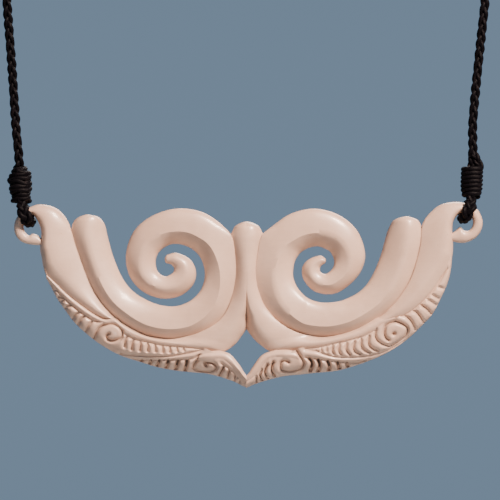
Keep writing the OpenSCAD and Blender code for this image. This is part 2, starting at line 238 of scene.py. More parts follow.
# %% Routes of the cords
BINDING_LEFT = np.array([[-52.9, 5.7], [-53.4, 14.6]])
BINDING_RIGHT = np.array([[52.8, 6.9], [53.1, 16.3]])
ROUND_NECK = [(57, -104), (59, -88), (61, -72), (61.5, -57), (60, -43), (55, -30), (47, -18), (36, -8),
              (23, -1), (13, 3), (8, 3)]
ROUTE_LEFT = [(-54.2, -142), (-55, -130), (-56, -117)] + [(-x, z) for x, z in ROUND_NECK]
ROUTE_RIGHT = [(53.2, -141), (54.2, -130), (55.6, -117)] + ROUND_NECK
HEAD_STEM = 3


def cord_line(binding, route):
    """The middle line of a cord: out of the binding's head along its axis, then the route."""
    foot, head = binding
    stem = head + HEAD_STEM * (head - foot) / np.linalg.norm(head - foot)
    flat = np.concatenate([[head, stem], np.array(route) + [0, DROP]])
    return even_line(np.stack([flat[:, 0], 0 * flat[:, 0], flat[:, 1]], axis=1), THREAD_STEP)


line_left = cord_line(BINDING_LEFT, ROUTE_LEFT)
line_right = cord_line(BINDING_RIGHT, ROUTE_RIGHT)
print("cord lengths in mm:", round(lengths_along(line_left)[-1], 1), round(lengths_along(line_right)[-1], 1))

# %% Plait the two cords
CORD_SWING = 0.6
CORD_DEPTH = 0.36
CORD_THREAD = 0.52
CORD_REPEAT = 7.8


def neck_cord(name, line, start):
    """A neck cord: its threads swing in the plane of the plate."""
    side = np.cross(headings(line), [0.0, 1.0, 0.0])
    return new_piece(name, plait(line, side, CORD_SWING, CORD_DEPTH, CORD_THREAD, CORD_REPEAT, start))


cord_left = neck_cord("neck_cord_left", line_left, 0.0)
cord_right = neck_cord("neck_cord_right", line_right, 0.12)

# %% [markdown]
# The eyes
# Below each binding the cord's end goes down in front of the hook, through its hole and up behind it. Seen
# from the front it is wider than the cord, a plait pulled flat over the bone, and it draws in where it
# passes through the hole. It is the same plait along another line, with a swing that varies on the way.

# %% Plait the eyes
EYE = [
    (-52.80, -1.75, 5.20), (-52.60, -2.40, 4.60), (-52.15, -3.00, 3.40), (-51.80, -3.00, 2.70),
    (-51.50, -2.75, 2.00), (-51.20, -2.00, 1.30), (-51.00, -0.70, 0.90), (-50.90, 0.70, 0.90),
    (-50.90, 2.00, 1.30), (-51.05, 2.75, 2.00), (-51.35, 3.00, 2.70), (-51.70, 3.00, 3.40),
    (-52.40, 2.45, 4.60), (-52.70, 1.75, 5.20)]
RIGHT_RAISE = 0.9
STRAND_Y = 1.32
EYE_SWING = (0.62, 0.98)
EYE_THREAD = (0.5, 0.64)
EYE_DEPTH = 0.3
EYE_REPEAT = 6.4
EYE_TUCK = 1.5
EYE_OPENS_AT, EYE_OPENS_OVER = 1.2, 1.4
EYE_CLOSES_AT, EYE_CLOSES_OVER = 0.6, 1.6
ALONG_X = np.array([1.0, 0.0, 0.0])


def binding_frame(binding):
    """Foot, axis, side and length of a binding. The side direction lies in the plate's plane."""
    foot = np.array([binding[0, 0], 0, binding[0, 1]])
    axis = np.array([binding[1, 0] - binding[0, 0], 0, binding[1, 1] - binding[0, 1]])
    length = np.linalg.norm(axis)
    axis /= length
    return foot, axis, np.array([axis[2], 0, -axis[0]]), length


def eye_parts(side, binding, start):
    """The eye's plait, from 1.5 mm inside the binding's foot, round the hook and back. Its swing and its
    thread grow from the first to the second value of their pair as the strand leaves the hole, between
    1.2 and 2.6 mm from the plate's middle plane, and shrink again over the 1.6 mm at the binding."""
    foot, inward = binding_frame(binding)[:2]
    loop = np.array(EYE) * [-side, 1, 1] + [0, 0, RIGHT_RAISE * (side > 0)]
    front, back = foot - [0, STRAND_Y, 0], foot + [0, STRAND_Y, 0]
    points = np.concatenate([[front + EYE_TUCK * inward, front], loop, [back, back + EYE_TUCK * inward]])
    line = even_line(points, THREAD_STEP)
    open_share = np.clip((np.abs(line[:, 1]) - EYE_OPENS_AT) / EYE_OPENS_OVER, 0, 1)
    open_share *= np.clip((foot[2] + EYE_CLOSES_AT - line[:, 2]) / EYE_CLOSES_OVER, 0, 1)
    swing = EYE_SWING[0] + (EYE_SWING[1] - EYE_SWING[0]) * open_share
    radius = EYE_THREAD[0] + (EYE_THREAD[1] - EYE_THREAD[0]) * open_share
    return plait(line, ALONG_X, swing, EYE_DEPTH, radius, EYE_REPEAT, start)


eye_left = new_piece("cord_eye_left", eye_parts(-1, BINDING_LEFT, 0.1))
eye_right = new_piece("cord_eye_right", eye_parts(1, BINDING_RIGHT, 0.3))

# %% [markdown]
# The bindings
# Each eye is closed by a whipping: one thread wound round the doubled cord. The right one is neat, with
# seven turns that draw in at both ends, and above them the cord's cut end lies against the cord. The left
# one is lumpy, with turns that cross near its top. A thread that follows a helix gives both, and a plain
# core inside keeps light from showing between turns.

# %% Wind the bindings
BINDING_GIRTH = 2.05
BINDING_DEPTH = 0.88
CORE_INSIDE = 0.35
WHIP_THREAD = 0.62
POINTS_A_TURN = 90
CORE_ROWS, CORE_SIDES = 40, 24


def round_binding(binding, along, out, angle):
    """Points at a distance along a binding's axis from its foot, and out from the axis at an angle. They
    stand on ovals whose depth is 0.88 of their width. The three arrays have one shape."""
    foot, axis, side, _ = binding_frame(binding)
    return (foot + along[..., None] * axis + (out * np.cos(angle))[..., None] * side
            + (out * BINDING_DEPTH * np.sin(angle))[..., None] * [0.0, 1.0, 0.0])


def wound(binding, girth, turns, start, end, lift=0.0, wobble=0.0):
    """A thread wound round a binding from share start to share end of its length. At share t, turned by
    an angle, its middle is girth(t, angle) + lift from the axis; wobble moves it up and down along the
    axis, three times a turn. A number of turns below nought winds the other way."""
    axis, _, length = binding_frame(binding)[1:]
    share = np.linspace(0, 1, int(POINTS_A_TURN * abs(turns)))
    angle = 2 * np.pi * turns * share
    t = start + (end - start) * share
    along = length * t + wobble * np.sin(3 * angle + 1.0)
    line = round_binding(binding, along, girth(t, angle) + lift, angle)
    return thread(line, WHIP_THREAD, axis, lay=3.0, sides=10)


def core(binding, girth, top=0.98):
    """The doubled cord inside a binding: a closed tube 0.35 mm inside the thread's middle."""
    t, angle = np.meshgrid(np.linspace(0.02, top, CORE_ROWS),
                           2 * np.pi * np.arange(CORE_SIDES) / CORE_SIDES, indexing="ij")
    along = binding_frame(binding)[3] * t
    return closed_tube(round_binding(binding, along, girth(t, angle) - CORE_INSIDE, angle))


def girth_right(t, angle):
    """How far the right binding's thread lies from its axis: girth * (1 - 0.30 * |2t - 1.06|^4), which
    draws in both ends and is the same all round."""
    return BINDING_GIRTH * (1 - 0.30 * np.abs(2 * t - 1.06) ** 4)


def girth_left(t, angle):
    """How far the left binding's thread lies from its axis: girth * (1 - 0.36 * |2t - 0.95|^3 + lumps),
    where the lumps are a wave along the axis and a smaller one that also goes round it."""
    lumps = 0.10 * np.sin(19 * t + 0.7) + 0.06 * np.cos(2 * angle + 11 * t)
    return BINDING_GIRTH * (1 - 0.36 * np.abs(2 * t - 0.95) ** 3 + lumps)


binding_left = new_piece("binding_left_whipping", [
    core(BINDING_LEFT, girth_left),
    wound(BINDING_LEFT, girth_left, 8.4, 0.05, 0.95, wobble=0.10),
    wound(BINDING_LEFT, girth_left, -1.3, 0.50, 0.86, lift=0.28, wobble=0.2)])

RIGHT_TURNS_END = 0.79
RIGHT_STEM = [(52.6, 0.0, 13.0), (52.9, 0.0, 14.8), (53.1, 0.0, 16.6)]
RIGHT_TAIL = [(54.2, -0.3, 12.6), (54.8, -0.3, 14.2), (54.2, -0.4, 15.8), (53.4, -0.5, 17.4)]
cord_ends = []
for points in (RIGHT_STEM, RIGHT_TAIL):
    line = even_line(np.array(points), THREAD_STEP)
    cord_ends += plait(line, ALONG_X, 0.55, EYE_DEPTH, EYE_THREAD[0], EYE_REPEAT, 0.2)
binding_right = new_piece("binding_right_whipping", [
    core(BINDING_RIGHT, girth_right, RIGHT_TURNS_END),
    wound(BINDING_RIGHT, girth_right, 7.2, 0.05, RIGHT_TURNS_END), *cord_ends])

# %% [markdown]
# The clasp
# What closes the cord behind the neck isn't in the photograph. A small turned barrel of the same bone is a
# plain choice. It is a profile carried round an axis: a fat middle, two rings cut near each end and a neck
# that takes the cord.

# %% Turn the clasp
HALF_CLASP = [(-8.0, 1.2), (-8.0, 1.62), (-7.8, 1.85), (-7.2, 1.9), (-6.6, 1.85), (-6.45, 1.7),
              (-6.3, 1.9), (-5.6, 2.3), (-4.4, 2.7), (-4.25, 2.55), (-4.1, 2.8), (-2.4, 2.96)]
CLASP = HALF_CLASP + [(0.0, 3.0)] + [(-x, reach) for x, reach in reversed(HALF_CLASP)]
CLASP_Z = 3.0 + DROP
CLASP_ROWS, CLASP_SIDES = 145, 64

profile = smooth_rows(CLASP, np.linspace(0, len(CLASP) - 1, CLASP_ROWS))
around = 2 * np.pi * np.arange(CLASP_SIDES) / CLASP_SIDES
clasp_rings = np.stack([np.repeat(profile[:, :1], CLASP_SIDES, axis=1),
                        profile[:, 1:] * np.cos(around),
                        CLASP_Z + profile[:, 1:] * np.sin(around)], axis=-1)
clasp = new_piece("barrel_clasp_turned", [closed_tube(clasp_rings)])

black_pieces = {"cord_left": cord_left, "cord_right": cord_right, "eye_left": eye_left,
                "eye_right": eye_right, "binding_left": binding_left, "binding_right": binding_right}
for node, piece in {**black_pieces, "barrel_clasp": clasp}.items():
    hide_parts(node)
    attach(piece, "root")

# %% [markdown]
# How a limb is carved
# The plate is one piece of bone, but a carver thinks of it as limbs: the two korus with their side thumbs,
# the wings with their hooks, the column that parts into two crescents, and the arms of the V. Each limb is
# a profile carried along its two edges. The profile rises from one edge to a soft crest and falls to the
# other, on a straight wall and a flat back. Where an edge is free it ends in a rounded corner. Where it
# meets another limb it runs on a little below it, so the two cross in a clean V, as a knife leaves it.

# %% A limb from its edges and its section
BACK_Y = 3.0
LIMB_STEP = 0.36
LIMB_FINE = 60
FACE_POINTS = 9
CORNER_POWER = 6
SKIRT, SKIRT_DROP, SKIRT_ROUNDING, MIDDLE_ROUNDING = 0.25, 0.3, 0.06, 0.01
FREE_REACH, FREE_DROP = 0.02, 0.03
MEETING_CORNER = 0.6
ROUNDING_SHARE = 0.46
NOSE_ANGLES = np.radians(np.linspace(12, 85, 8))[:, None]
QUARTER_TURN = np.radians([0.0, 30.0, 60.0, 90.0])
PLAIN_BACK = (0, 0.5)


def half_face(crest, edge, crest_height, fall, corner, bow):
    """Points of a limb's face from crest to edge, both (rows, 2). At share u of the way the height is
    crest height - fall * u^bow - corner * (1 - sqrt(1 - u^6)): an even slope, then a rounded corner. A bow
    near 1 makes the crest a ridge and a bow of 2 a dome."""
    u = np.sin(np.linspace(0, np.pi / 2, FACE_POINTS))[None, :]
    place = crest[:, None] + u[..., None] * (edge - crest)[:, None]
    rounding = 1 - np.sqrt(np.clip(1 - u ** CORNER_POWER, 0, 1))
    height = crest_height[:, None] - fall[:, None] * u ** bow[:, None] - corner[:, None] * rounding
    return place, height


def wall(edge, crest, edge_height, corner, back, rounding):
    """Points of a wall from a face's edge down to the back: a skirt that goes SKIRT outwards and
    SKIRT_DROP down where the corner is nought, the foot of the wall, and a quarter turn on to the back.
    On the plate's middle plane the wall is upright, because there it meets its other half point for
    point."""
    outward = (edge - crest) / np.maximum(np.linalg.norm(edge - crest, axis=1, keepdims=True), 1e-6)
    meets = np.clip(1 - corner / MEETING_CORNER, 0, 1)
    in_middle = np.abs(edge[:, 0]) < 1e-6
    reach = np.where(in_middle, 0.0, FREE_REACH + (SKIRT - FREE_REACH) * meets)
    round_by = np.where(meets > 0.5, SKIRT_ROUNDING, rounding)
    round_by = np.where(in_middle, MIDDLE_ROUNDING, round_by)[:, None]
    offset = np.concatenate([reach[:, None], reach[:, None] - round_by * (1 - np.cos(QUARTER_TURN))], axis=1)
    height = np.concatenate([(edge_height - FREE_DROP - SKIRT_DROP * meets)[:, None],
                             back[:, None] + round_by * (1 - np.sin(QUARTER_TURN))], axis=1)
    return edge[:, None] + offset[..., None] * outward[:, None], height


def nosed(edges, shape, length, at_end):
    """Adds rows that close a limb's end in a half round: at angle q from 12 to 85 degrees the row moves
    out by length * sin(q) and narrows by cos(q). Its falls shrink by cos(q) too, and its crest comes down
    by what they lose and by sin(q)^2 / 2."""
    if not length:
        return edges, shape
    row, near = (-1, -4) if at_end else (0, 3)
    middle = (edges[row, :2] + edges[row, 2:]) / 2
    out = middle - (edges[near, :2] + edges[near, 2:]) / 2
    out /= np.linalg.norm(out)
    q = NOSE_ANGLES
    half = (edges[row, :2] - edges[row, 2:]) / 2
    centre = middle + length * np.sin(q) * out
    new_edges = np.concatenate([centre + half * np.cos(q), centre - half * np.cos(q)], axis=1)
    new_shape = np.repeat(shape[row][None, :], len(q), axis=0)
    new_shape[:, 2:4] *= np.cos(q)
    new_shape[:, 1] -= shape[row, 2:4].mean() * (1 - np.cos(q[:, 0])) + 0.5 * np.sin(q[:, 0]) ** 2
    if at_end:
        return np.concatenate([edges, new_edges]), np.concatenate([shape, new_shape])
    return np.concatenate([new_edges[::-1], edges]), np.concatenate([new_shape[::-1], shape])


def row_places(edge_rows, like=None):
    """Places of a limb's rows, at even distances along the longer of its edges, or, as far as the limb
    goes, those of another limb that it has to meet point for point."""
    edges = np.array(edge_rows if like is None else like, float)
    fine = np.linspace(0, len(edges) - 1, LIMB_FINE * len(edges))
    dense = smooth_rows(edges, fine)
    steps = np.maximum(np.linalg.norm(np.diff(dense[:, :2], axis=0), axis=1),
                       np.linalg.norm(np.diff(dense[:, 2:], axis=0), axis=1))
    along = np.concatenate([[0], np.cumsum(steps)])
    places = np.interp(np.linspace(0, along[-1], int(along[-1] / LIMB_STEP) + 1), along, fine)
    last = len(edge_rows) - 1
    return np.concatenate([places[places < last - 0.02], [last]])


def limb(edge_rows, shape_rows, bows=((0, 1.35),), noses=(0, 0), like=None):
    """A closed limb. Columns of edge_rows: edge a x, z, edge b x, z. Columns of shape_rows: row number,
    crest's place from a (0) to b (1), crest height, fall to a, to b, corner at a, at b, back height and
    back rounding, all from the plate's back. The last two are PLAIN_BACK where a row leaves them out.
    The bows are pairs of row number and bow, the noses the lengths of the half rounds at the two ends, and
    like another limb's edges whose rows this one follows."""
    shape = np.array([(*row, *PLAIN_BACK)[:9] for row in shape_rows], float)
    places = row_places(edge_rows, like)
    edges = smooth_rows(edge_rows, places)
    shape = np.stack([np.interp(places, shape[:, 0], shape[:, k]) for k in range(1, shape.shape[1])], axis=1)
    shape = np.column_stack([shape, np.interp(places, *np.transpose(bows))])
    edges, shape = nosed(edges, shape, noses[0], False)
    edges, shape = nosed(edges, shape, noses[1], True)
    place, height, fall_a, fall_b, corner_a, corner_b, back, rounding, bow = shape.T
    a, b = edges[:, :2], edges[:, 2:]
    rounding = np.minimum(rounding, ROUNDING_SHARE * np.linalg.norm(a - b, axis=1))
    crest = a + place[:, None] * (b - a)
    face_a, height_a = half_face(crest, a, height, fall_a, corner_a, bow)
    face_b, height_b = half_face(crest, b, height, fall_b, corner_b, bow)
    wall_a, low_a = wall(a, crest, height_a[:, -1], corner_a, back, rounding)
    wall_b, low_b = wall(b, crest, height_b[:, -1], corner_b, back, rounding)
    flat = np.concatenate([wall_a[:, ::-1], face_a[:, :0:-1], face_b, wall_b], axis=1)
    tall = np.concatenate([low_a[:, ::-1], height_a[:, :0:-1], height_b, low_b], axis=1)
    return closed_tube(np.stack([flat[..., 0], BACK_Y - tall, flat[..., 1]], axis=-1))


# %% [markdown]
# The two korus
# A koru is the unrolling frond of a tree fern. Each one here starts as the blunt thumb beside the wing,
# sweeps under the spiral, climbs beside the column, goes over the top and rolls in to a bead. The left and
# the right are cut by hand, so they differ by up to a millimetre, and each has its own table of edges.

# %% Edges and sections of the korus
KORU_LEFT = [
    (-37.9, 3.1, -36.9, 3.1), (-39.3, 2.6, -35.1, 2.7), (-40.4, 1.8, -34.1, 1.9), (-41.0, 0.4, -33.3, 0.6),
    (-41.1, -1.4, -32.9, -1.2), (-40.6, -3.8, -32.4, -3.2), (-38.9, -8.9, -31.3, -7.0),
    (-37.0, -13.7, -29.2, -11.8), (-34.1, -18.3, -26.6, -15.0), (-29.9, -22.1, -22.8, -17.3),
    (-25.0, -24.9, -19.6, -18.3), (-19.0, -26.2, -16.4, -18.4), (-12.9, -25.6, -13.3, -17.2),
    (-7.6, -23.0, -11.0, -15.0), (-4.0, -18.5, -9.9, -12.2), (-2.6, -12.0, -9.9, -9.6),
    (-2.8, -6.5, -10.8, -7.0), (-3.8, -1.8, -12.3, -5.3), (-6.6, 1.4, -13.8, -4.4),
    (-11.0, 3.9, -15.6, -3.8), (-16.6, 4.5, -17.6, -3.8), (-22.2, 2.8, -19.4, -4.6),
    (-26.4, -0.7, -20.8, -5.9), (-28.3, -6.0, -21.4, -7.6), (-27.6, -11.0, -21.2, -9.6),
    (-24.8, -14.6, -20.3, -10.9), (-20.4, -16.5, -19.0, -11.4), (-15.8, -16.0, -17.9, -11.0),
    (-12.7, -13.5, -17.2, -10.4), (-11.9, -10.3, -17.0, -9.7), (-13.3, -7.4, -17.2, -9.1),
    (-16.4, -5.9, -17.8, -8.5), (-18.6, -6.3, -18.7, -8.3)]
KORU_RIGHT = [
    (38.1, 2.7, 37.1, 2.7), (39.4, 2.3, 35.6, 2.3), (40.4, 1.7, 34.5, 1.7), (41.0, 0.5, 33.8, 0.6),
    (41.3, -1.2, 33.1, -1.0), (41.1, -4.0, 32.5, -3.2), (39.9, -9.2, 31.3, -7.3),
    (37.6, -14.1, 29.1, -12.1), (34.4, -18.4, 26.6, -15.0), (29.9, -21.9, 23.0, -16.9),
    (25.0, -24.4, 20.3, -17.5), (19.2, -25.7, 17.2, -17.5), (13.0, -25.2, 14.2, -16.4),
    (7.6, -22.3, 12.1, -14.2), (3.9, -18.1, 11.1, -12.1), (2.2, -12.0, 10.9, -10.2),
    (2.6, -6.5, 11.4, -7.7), (3.7, -1.9, 12.5, -6.0), (6.6, 0.8, 13.9, -5.0), (10.6, 3.4, 15.2, -4.5),
    (16.0, 4.5, 16.8, -4.3), (21.5, 3.1, 18.4, -4.8), (25.8, -0.4, 19.7, -5.6), (27.8, -5.5, 20.6, -7.4),
    (27.2, -9.5, 20.5, -9.0), (24.7, -12.9, 19.8, -10.1), (20.7, -15.4, 18.8, -10.8),
    (16.3, -15.0, 17.9, -10.7), (13.6, -12.4, 17.3, -10.2), (13.1, -9.5, 17.2, -9.6),
    (14.5, -7.5, 17.3, -9.2), (17.2, -6.5, 17.7, -8.7), (18.4, -7.1, 18.2, -8.4)]
KORU_SHAPE = [
    (0, 0.50, 4.4, 0.2, 0.2, 1.0, 1.0), (1, 0.50, 5.0, 0.6, 0.6, 1.1, 1.1),
    (2, 0.47, 5.4, 1.2, 1.3, 1.2, 1.2), (3, 0.44, 5.7, 1.8, 2.1, 0.8, 1.2),
    (4, 0.43, 5.9, 2.4, 2.7, 0.0, 1.2), (6, 0.40, 6.0, 2.8, 2.8, 0.0, 1.2),
    (8, 0.36, 5.9, 2.7, 2.0, 0.0, 1.2), (10, 0.32, 6.0, 2.8, 1.2, 0.0, 1.2),
    (12, 0.32, 6.0, 3.0, 0.8, 0.0, 1.2), (14, 0.44, 6.0, 2.4, 1.7, 0.0, 1.2),
    (16, 0.55, 6.0, 1.5, 2.8, 0.0, 0.9), (17, 0.60, 6.0, 1.2, 3.2, 0.0, 0.8),
    (18, 0.63, 6.0, 0.9, 3.3, 1.2, 0.7), (20, 0.65, 6.0, 0.9, 3.3, 1.2, 0.7),
    (22, 0.56, 5.8, 1.4, 2.6, 1.2, 0.8), (24, 0.45, 5.6, 2.5, 1.3, 0.9, 1.0),
    (26, 0.46, 5.4, 2.7, 0.8, 0.8, 1.0), (28, 0.46, 5.2, 2.0, 0.9, 0.8, 0.9),
    (30, 0.48, 4.9, 1.2, 0.9, 0.9, 0.9), (32, 0.50, 4.5, 0.5, 0.5, 0.8, 0.8)]
KORU_BOWS = [(0, 1.8), (5, 1.5), (9, 1.2), (15, 1.15), (19, 1.2), (26, 1.35), (32, 1.6)]

plate_parts = {"koru_left": limb(KORU_LEFT, KORU_SHAPE, KORU_BOWS, (0.06, 0.55)),
               "koru_right": limb(KORU_RIGHT, KORU_SHAPE, KORU_BOWS, (0.06, 0.35))}


def tell_parts(*names):
    """Prints the number of points of some of the plate's parts."""
    print({name: len(plate_parts[name][0]) for name in names})


tell_parts("koru_left", "koru_right")

# %% [markdown]
# The wings and their hooks
# A wing springs from its hook. The limb starts at the hook's bead, goes round the hole as a round rod 3 mm
# thick, and fans out into the broad wing that runs down beside the thumb. The section changes on the way:
# the rod stands free of the back plane, and the wing comes down to it.

# %% Edges and sections of the wings
WING_LEFT = [
    (-47.9, -3.9, -48.1, -2.8), (-49.0, -4.0, -49.1, -1.7), (-50.3, -3.9, -50.3, -1.4),
    (-51.5, -3.7, -51.0, -1.8), (-52.8, -3.2, -51.7, -1.4), (-53.9, -2.2, -52.2, -0.6),
    (-54.5, -0.9, -52.4, 0.2), (-54.6, 0.5, -52.4, 1.0), (-54.3, 1.8, -52.2, 1.8), (-53.5, 3.1, -51.7, 2.5),
    (-52.3, 4.2, -51.0, 3.0), (-50.6, 5.0, -50.1, 3.1), (-48.9, 5.5, -49.4, 2.2), (-46.6, 5.3, -48.8, 1.2),
    (-44.6, 4.5, -48.4, 0.1), (-43.0, 3.0, -48.2, -1.2), (-41.9, 1.2, -48.3, -2.9),
    (-41.3, -0.9, -48.5, -4.8), (-40.8, -3.4, -48.1, -7.0), (-39.8, -6.6, -47.7, -9.2),
    (-38.5, -10.1, -46.8, -10.9), (-37.0, -13.7, -44.8, -12.7), (-35.4, -16.5, -42.4, -15.0),
    (-33.9, -18.4, -39.5, -17.4), (-32.8, -19.6, -36.6, -19.5), (-31.9, -20.4, -33.8, -21.0),
    (-31.2, -20.9, -32.0, -21.5)]
WING_RIGHT = [
    (48.1, -3.0, 48.2, -1.3), (49.2, -3.3, 49.2, -0.6), (50.4, -3.5, 50.2, 0.3), (51.4, -3.4, 51.0, -0.5),
    (52.6, -3.0, 51.7, -0.7), (53.8, -2.3, 52.3, -0.6), (54.8, -1.1, 52.9, 0.0), (55.4, 0.4, 53.2, 0.9),
    (55.4, 1.9, 53.2, 1.8), (54.9, 3.3, 52.8, 2.6), (54.1, 4.5, 52.2, 3.3), (52.6, 5.4, 51.3, 3.7),
    (51.0, 5.9, 50.2, 3.5), (49.2, 6.1, 49.3, 2.8), (47.2, 5.9, 48.7, 1.9), (45.2, 5.2, 48.4, 0.8),
    (43.3, 3.6, 48.3, -0.6), (42.0, 1.7, 48.4, -2.3), (41.3, -0.6, 48.5, -4.3), (41.1, -3.8, 48.3, -6.6),
    (40.2, -7.8, 47.4, -8.7), (38.8, -12.0, 45.4, -11.6), (36.8, -15.4, 42.9, -15.0),
    (34.9, -17.9, 40.1, -18.1), (33.6, -19.2, 37.2, -20.2), (32.5, -20.3, 34.6, -21.5),
    (31.3, -21.2, 32.9, -22.2)]
WING_SHAPE = [
    (0, 0.50, 4.2, 0.3, 0.3, 0.9, 0.9, 1.6, 1.2), (2, 0.50, 4.6, 0.5, 0.5, 1.0, 1.0, 1.4, 1.2),
    (4, 0.50, 4.5, 0.4, 0.4, 1.0, 1.0, 1.5, 1.2), (10, 0.50, 4.6, 0.5, 0.5, 1.0, 1.0, 1.4, 1.2),
    (12, 0.54, 5.0, 0.8, 0.7, 1.1, 1.1, 0.7, 0.9), (14, 0.68, 5.4, 1.2, 0.9, 1.1, 1.0, 0.0, 0.5),
    (15, 0.74, 5.6, 1.4, 1.2, 1.1, 1.0, 0.0, 0.5), (17, 0.76, 5.8, 1.7, 1.6, 0.0, 0.9, 0.0, 0.5),
    (19, 0.70, 5.8, 1.6, 1.6, 0.0, 0.7, 0.0, 0.5), (20, 0.62, 5.6, 1.4, 1.3, 0.0, 0.0, 0.0, 0.5),
    (22, 0.52, 5.4, 1.2, 0.9, 0.0, 0.0, 0.0, 0.5), (24, 0.50, 5.2, 1.0, 0.8, 0.0, 0.0, 0.0, 0.5),
    (26, 0.50, 4.8, 0.8, 0.7, 0.0, 0.0, 0.0, 0.5)]


def tucked(edge_rows, first, last, reach):
    """Edge rows whose inner edge, between two rows, lies further from the outer edge by reach. That much
    of the limb goes under its neighbour, so that no open slot is left between the two. With k from 0 to 1
    between the rows, the reach is multiplied by min(1, 2 * sin(pi * k)), so that it starts gently."""
    edges = np.array(edge_rows, float)
    across = edges[first:last, :2] - edges[first:last, 2:]
    ease = np.minimum(1, 2 * np.sin(np.pi * np.linspace(0, 1, last - first)))[:, None]
    edges[first:last, :2] += reach * ease * across / np.linalg.norm(across, axis=1, keepdims=True)
    return edges


WING_BOW = [(0, 1.7)]

plate_parts["wing_left"] = limb(tucked(WING_LEFT, 17, 26, 0.3), WING_SHAPE, WING_BOW)
plate_parts["wing_right"] = limb(tucked(WING_RIGHT, 17, 26, 0.1), WING_SHAPE, WING_BOW)
tell_parts("wing_left", "wing_right")

# %% [markdown]
# The column, the crescents and the V
# The column in the middle starts as one thumb. A groove divides it lower down, its halves swing out under
# the korus, and they narrow to a lip that runs on over the small curls. Each half is one limb, from the
# column's top to the lip's end, and meets the middle plane on an upright wall so that the halves join. The
# arms of the V close the diamond-shaped opening from below.

# %% Edges and sections of the middle
CRESCENT_LEFT = [
    (-0.2, 1.5, 0, 1.5), (-1.1, 1.3, 0, 1.0), (-2.1, 0.8, 0, 0.3), (-2.9, 0.1, 0, -0.6),
    (-3.5, -1.9, 0, -2.2), (-3.0, -4.9, 0, -4.9), (-2.5, -8.2, 0, -8.2), (-2.6, -11.8, 0, -11.8),
    (-3.0, -15.0, 0, -15.0), (-3.8, -17.9, 0, -18.2), (-5.0, -20.3, 0, -21.0), (-6.8, -22.3, -0.1, -23.6),
    (-9.1, -23.9, -1.4, -25.7), (-11.8, -25.2, -3.0, -27.6), (-14.2, -25.8, -5.6, -28.9),
    (-17.0, -26.2, -10.2, -28.6), (-20.0, -26.1, -15.5, -27.9), (-23.5, -25.4, -20.5, -27.3),
    (-26.5, -24.1, -25.3, -26.3), (-29.0, -22.7, -28.2, -24.7), (-31.4, -21.0, -30.8, -22.7),
    (-33.2, -21.3, -33.0, -22.6), (-35.0, -20.5, -35.4, -21.8), (-37.5, -18.9, -38.1, -20.2),
    (-40.0, -17.0, -40.8, -18.2), (-42.4, -15.0, -43.3, -15.9), (-44.8, -12.7, -45.5, -13.5),
    (-46.8, -10.9, -47.0, -11.6)]
CRESCENT_RIGHT = [
    (0.2, 1.5, 0, 1.5), (1.2, 1.3, 0, 1.0), (2.3, 0.8, 0, 0.3), (3.1, 0.1, 0, -0.6), (3.7, -1.8, 0, -2.2),
    (3.0, -4.7, 0, -4.9), (2.4, -8.2, 0, -8.2), (2.2, -11.8, 0, -11.8), (2.7, -15.0, 0, -15.0),
    (3.9, -18.0, 0, -18.2), (5.5, -20.2, 0, -21.0), (7.4, -22.1, 0.1, -23.6), (9.6, -23.8, 1.6, -25.9),
    (12.2, -25.0, 3.2, -27.4), (14.6, -25.5, 5.8, -28.8), (17.0, -25.8, 11.0, -28.6),
    (20.0, -25.6, 16.5, -28.1), (23.5, -24.8, 21.5, -27.1), (26.5, -23.8, 26.0, -26.0),
    (29.0, -22.5, 29.6, -24.4), (31.0, -21.3, 32.2, -22.9), (32.8, -21.0, 34.4, -21.9),
    (34.3, -20.9, 35.9, -21.3)]
CRESCENT_SHAPE = [
    (0, 0.97, 3.9, 0.2, 0.0, 0.9, 0.0), (1, 0.97, 4.9, 0.7, 0.0, 1.2, 0.0),
    (2, 0.97, 5.5, 1.0, 0.0, 1.3, 0.0), (3, 0.97, 5.8, 1.4, 0.0, 1.2, 0.0),
    (4, 0.97, 6.0, 1.9, 0.0, 0.0, 0.0), (6, 0.97, 6.0, 2.0, 0.0, 0.0, 0.0),
    (8, 0.95, 5.9, 1.7, 0.1, 0.0, 0.0), (9, 0.78, 5.6, 1.1, 0.9, 0.0, 0.0),
    (10, 0.60, 5.4, 0.8, 2.4, 0.0, 0.0), (11, 0.55, 5.3, 0.6, 2.8, 0.0, 0.2),
    (12, 0.52, 5.2, 0.5, 2.0, 0.0, 1.2), (13, 0.52, 5.1, 0.6, 1.6, 0.0, 1.0),
    (14, 0.50, 5.3, 1.5, 1.3, 0.0, 0.0), (15, 0.50, 5.1, 1.5, 0.9, 0.0, 0.0),
    (17, 0.50, 4.9, 1.4, 0.6, 0.0, 0.0), (20, 0.50, 4.9, 1.4, 0.6, 0.0, 0.0),
    (23, 0.50, 5.0, 0.9, 0.7, 0.0, 0.0), (27, 0.50, 4.5, 0.6, 0.6, 0.0, 0.0)]
VEE_LEFT = [
    (-10.7, -29.8, -11.2, -30.8), (-9.9, -29.3, -10.2, -31.0), (-8.4, -29.1, -8.6, -31.3),
    (-6.3, -29.0, -6.7, -31.7), (-4.6, -29.3, -5.2, -32.3), (-3.4, -30.1, -4.0, -33.2),
    (-2.4, -31.3, -3.0, -34.2), (-1.4, -32.6, -2.0, -35.1), (-0.7, -33.8, -1.0, -36.0),
    (0.1, -34.9, 0.1, -36.7)]
VEE_RIGHT = [
    (11.3, -29.2, 12.2, -30.8), (10.4, -28.9, 10.9, -30.9), (8.9, -28.8, 9.0, -30.9),
    (6.6, -28.9, 6.9, -31.2), (4.8, -29.3, 5.4, -31.8), (3.4, -30.1, 4.2, -32.8), (2.4, -31.3, 3.2, -34.0),
    (1.5, -32.6, 2.2, -35.1), (0.7, -33.9, 1.1, -36.0), (-0.1, -34.9, -0.1, -36.7)]
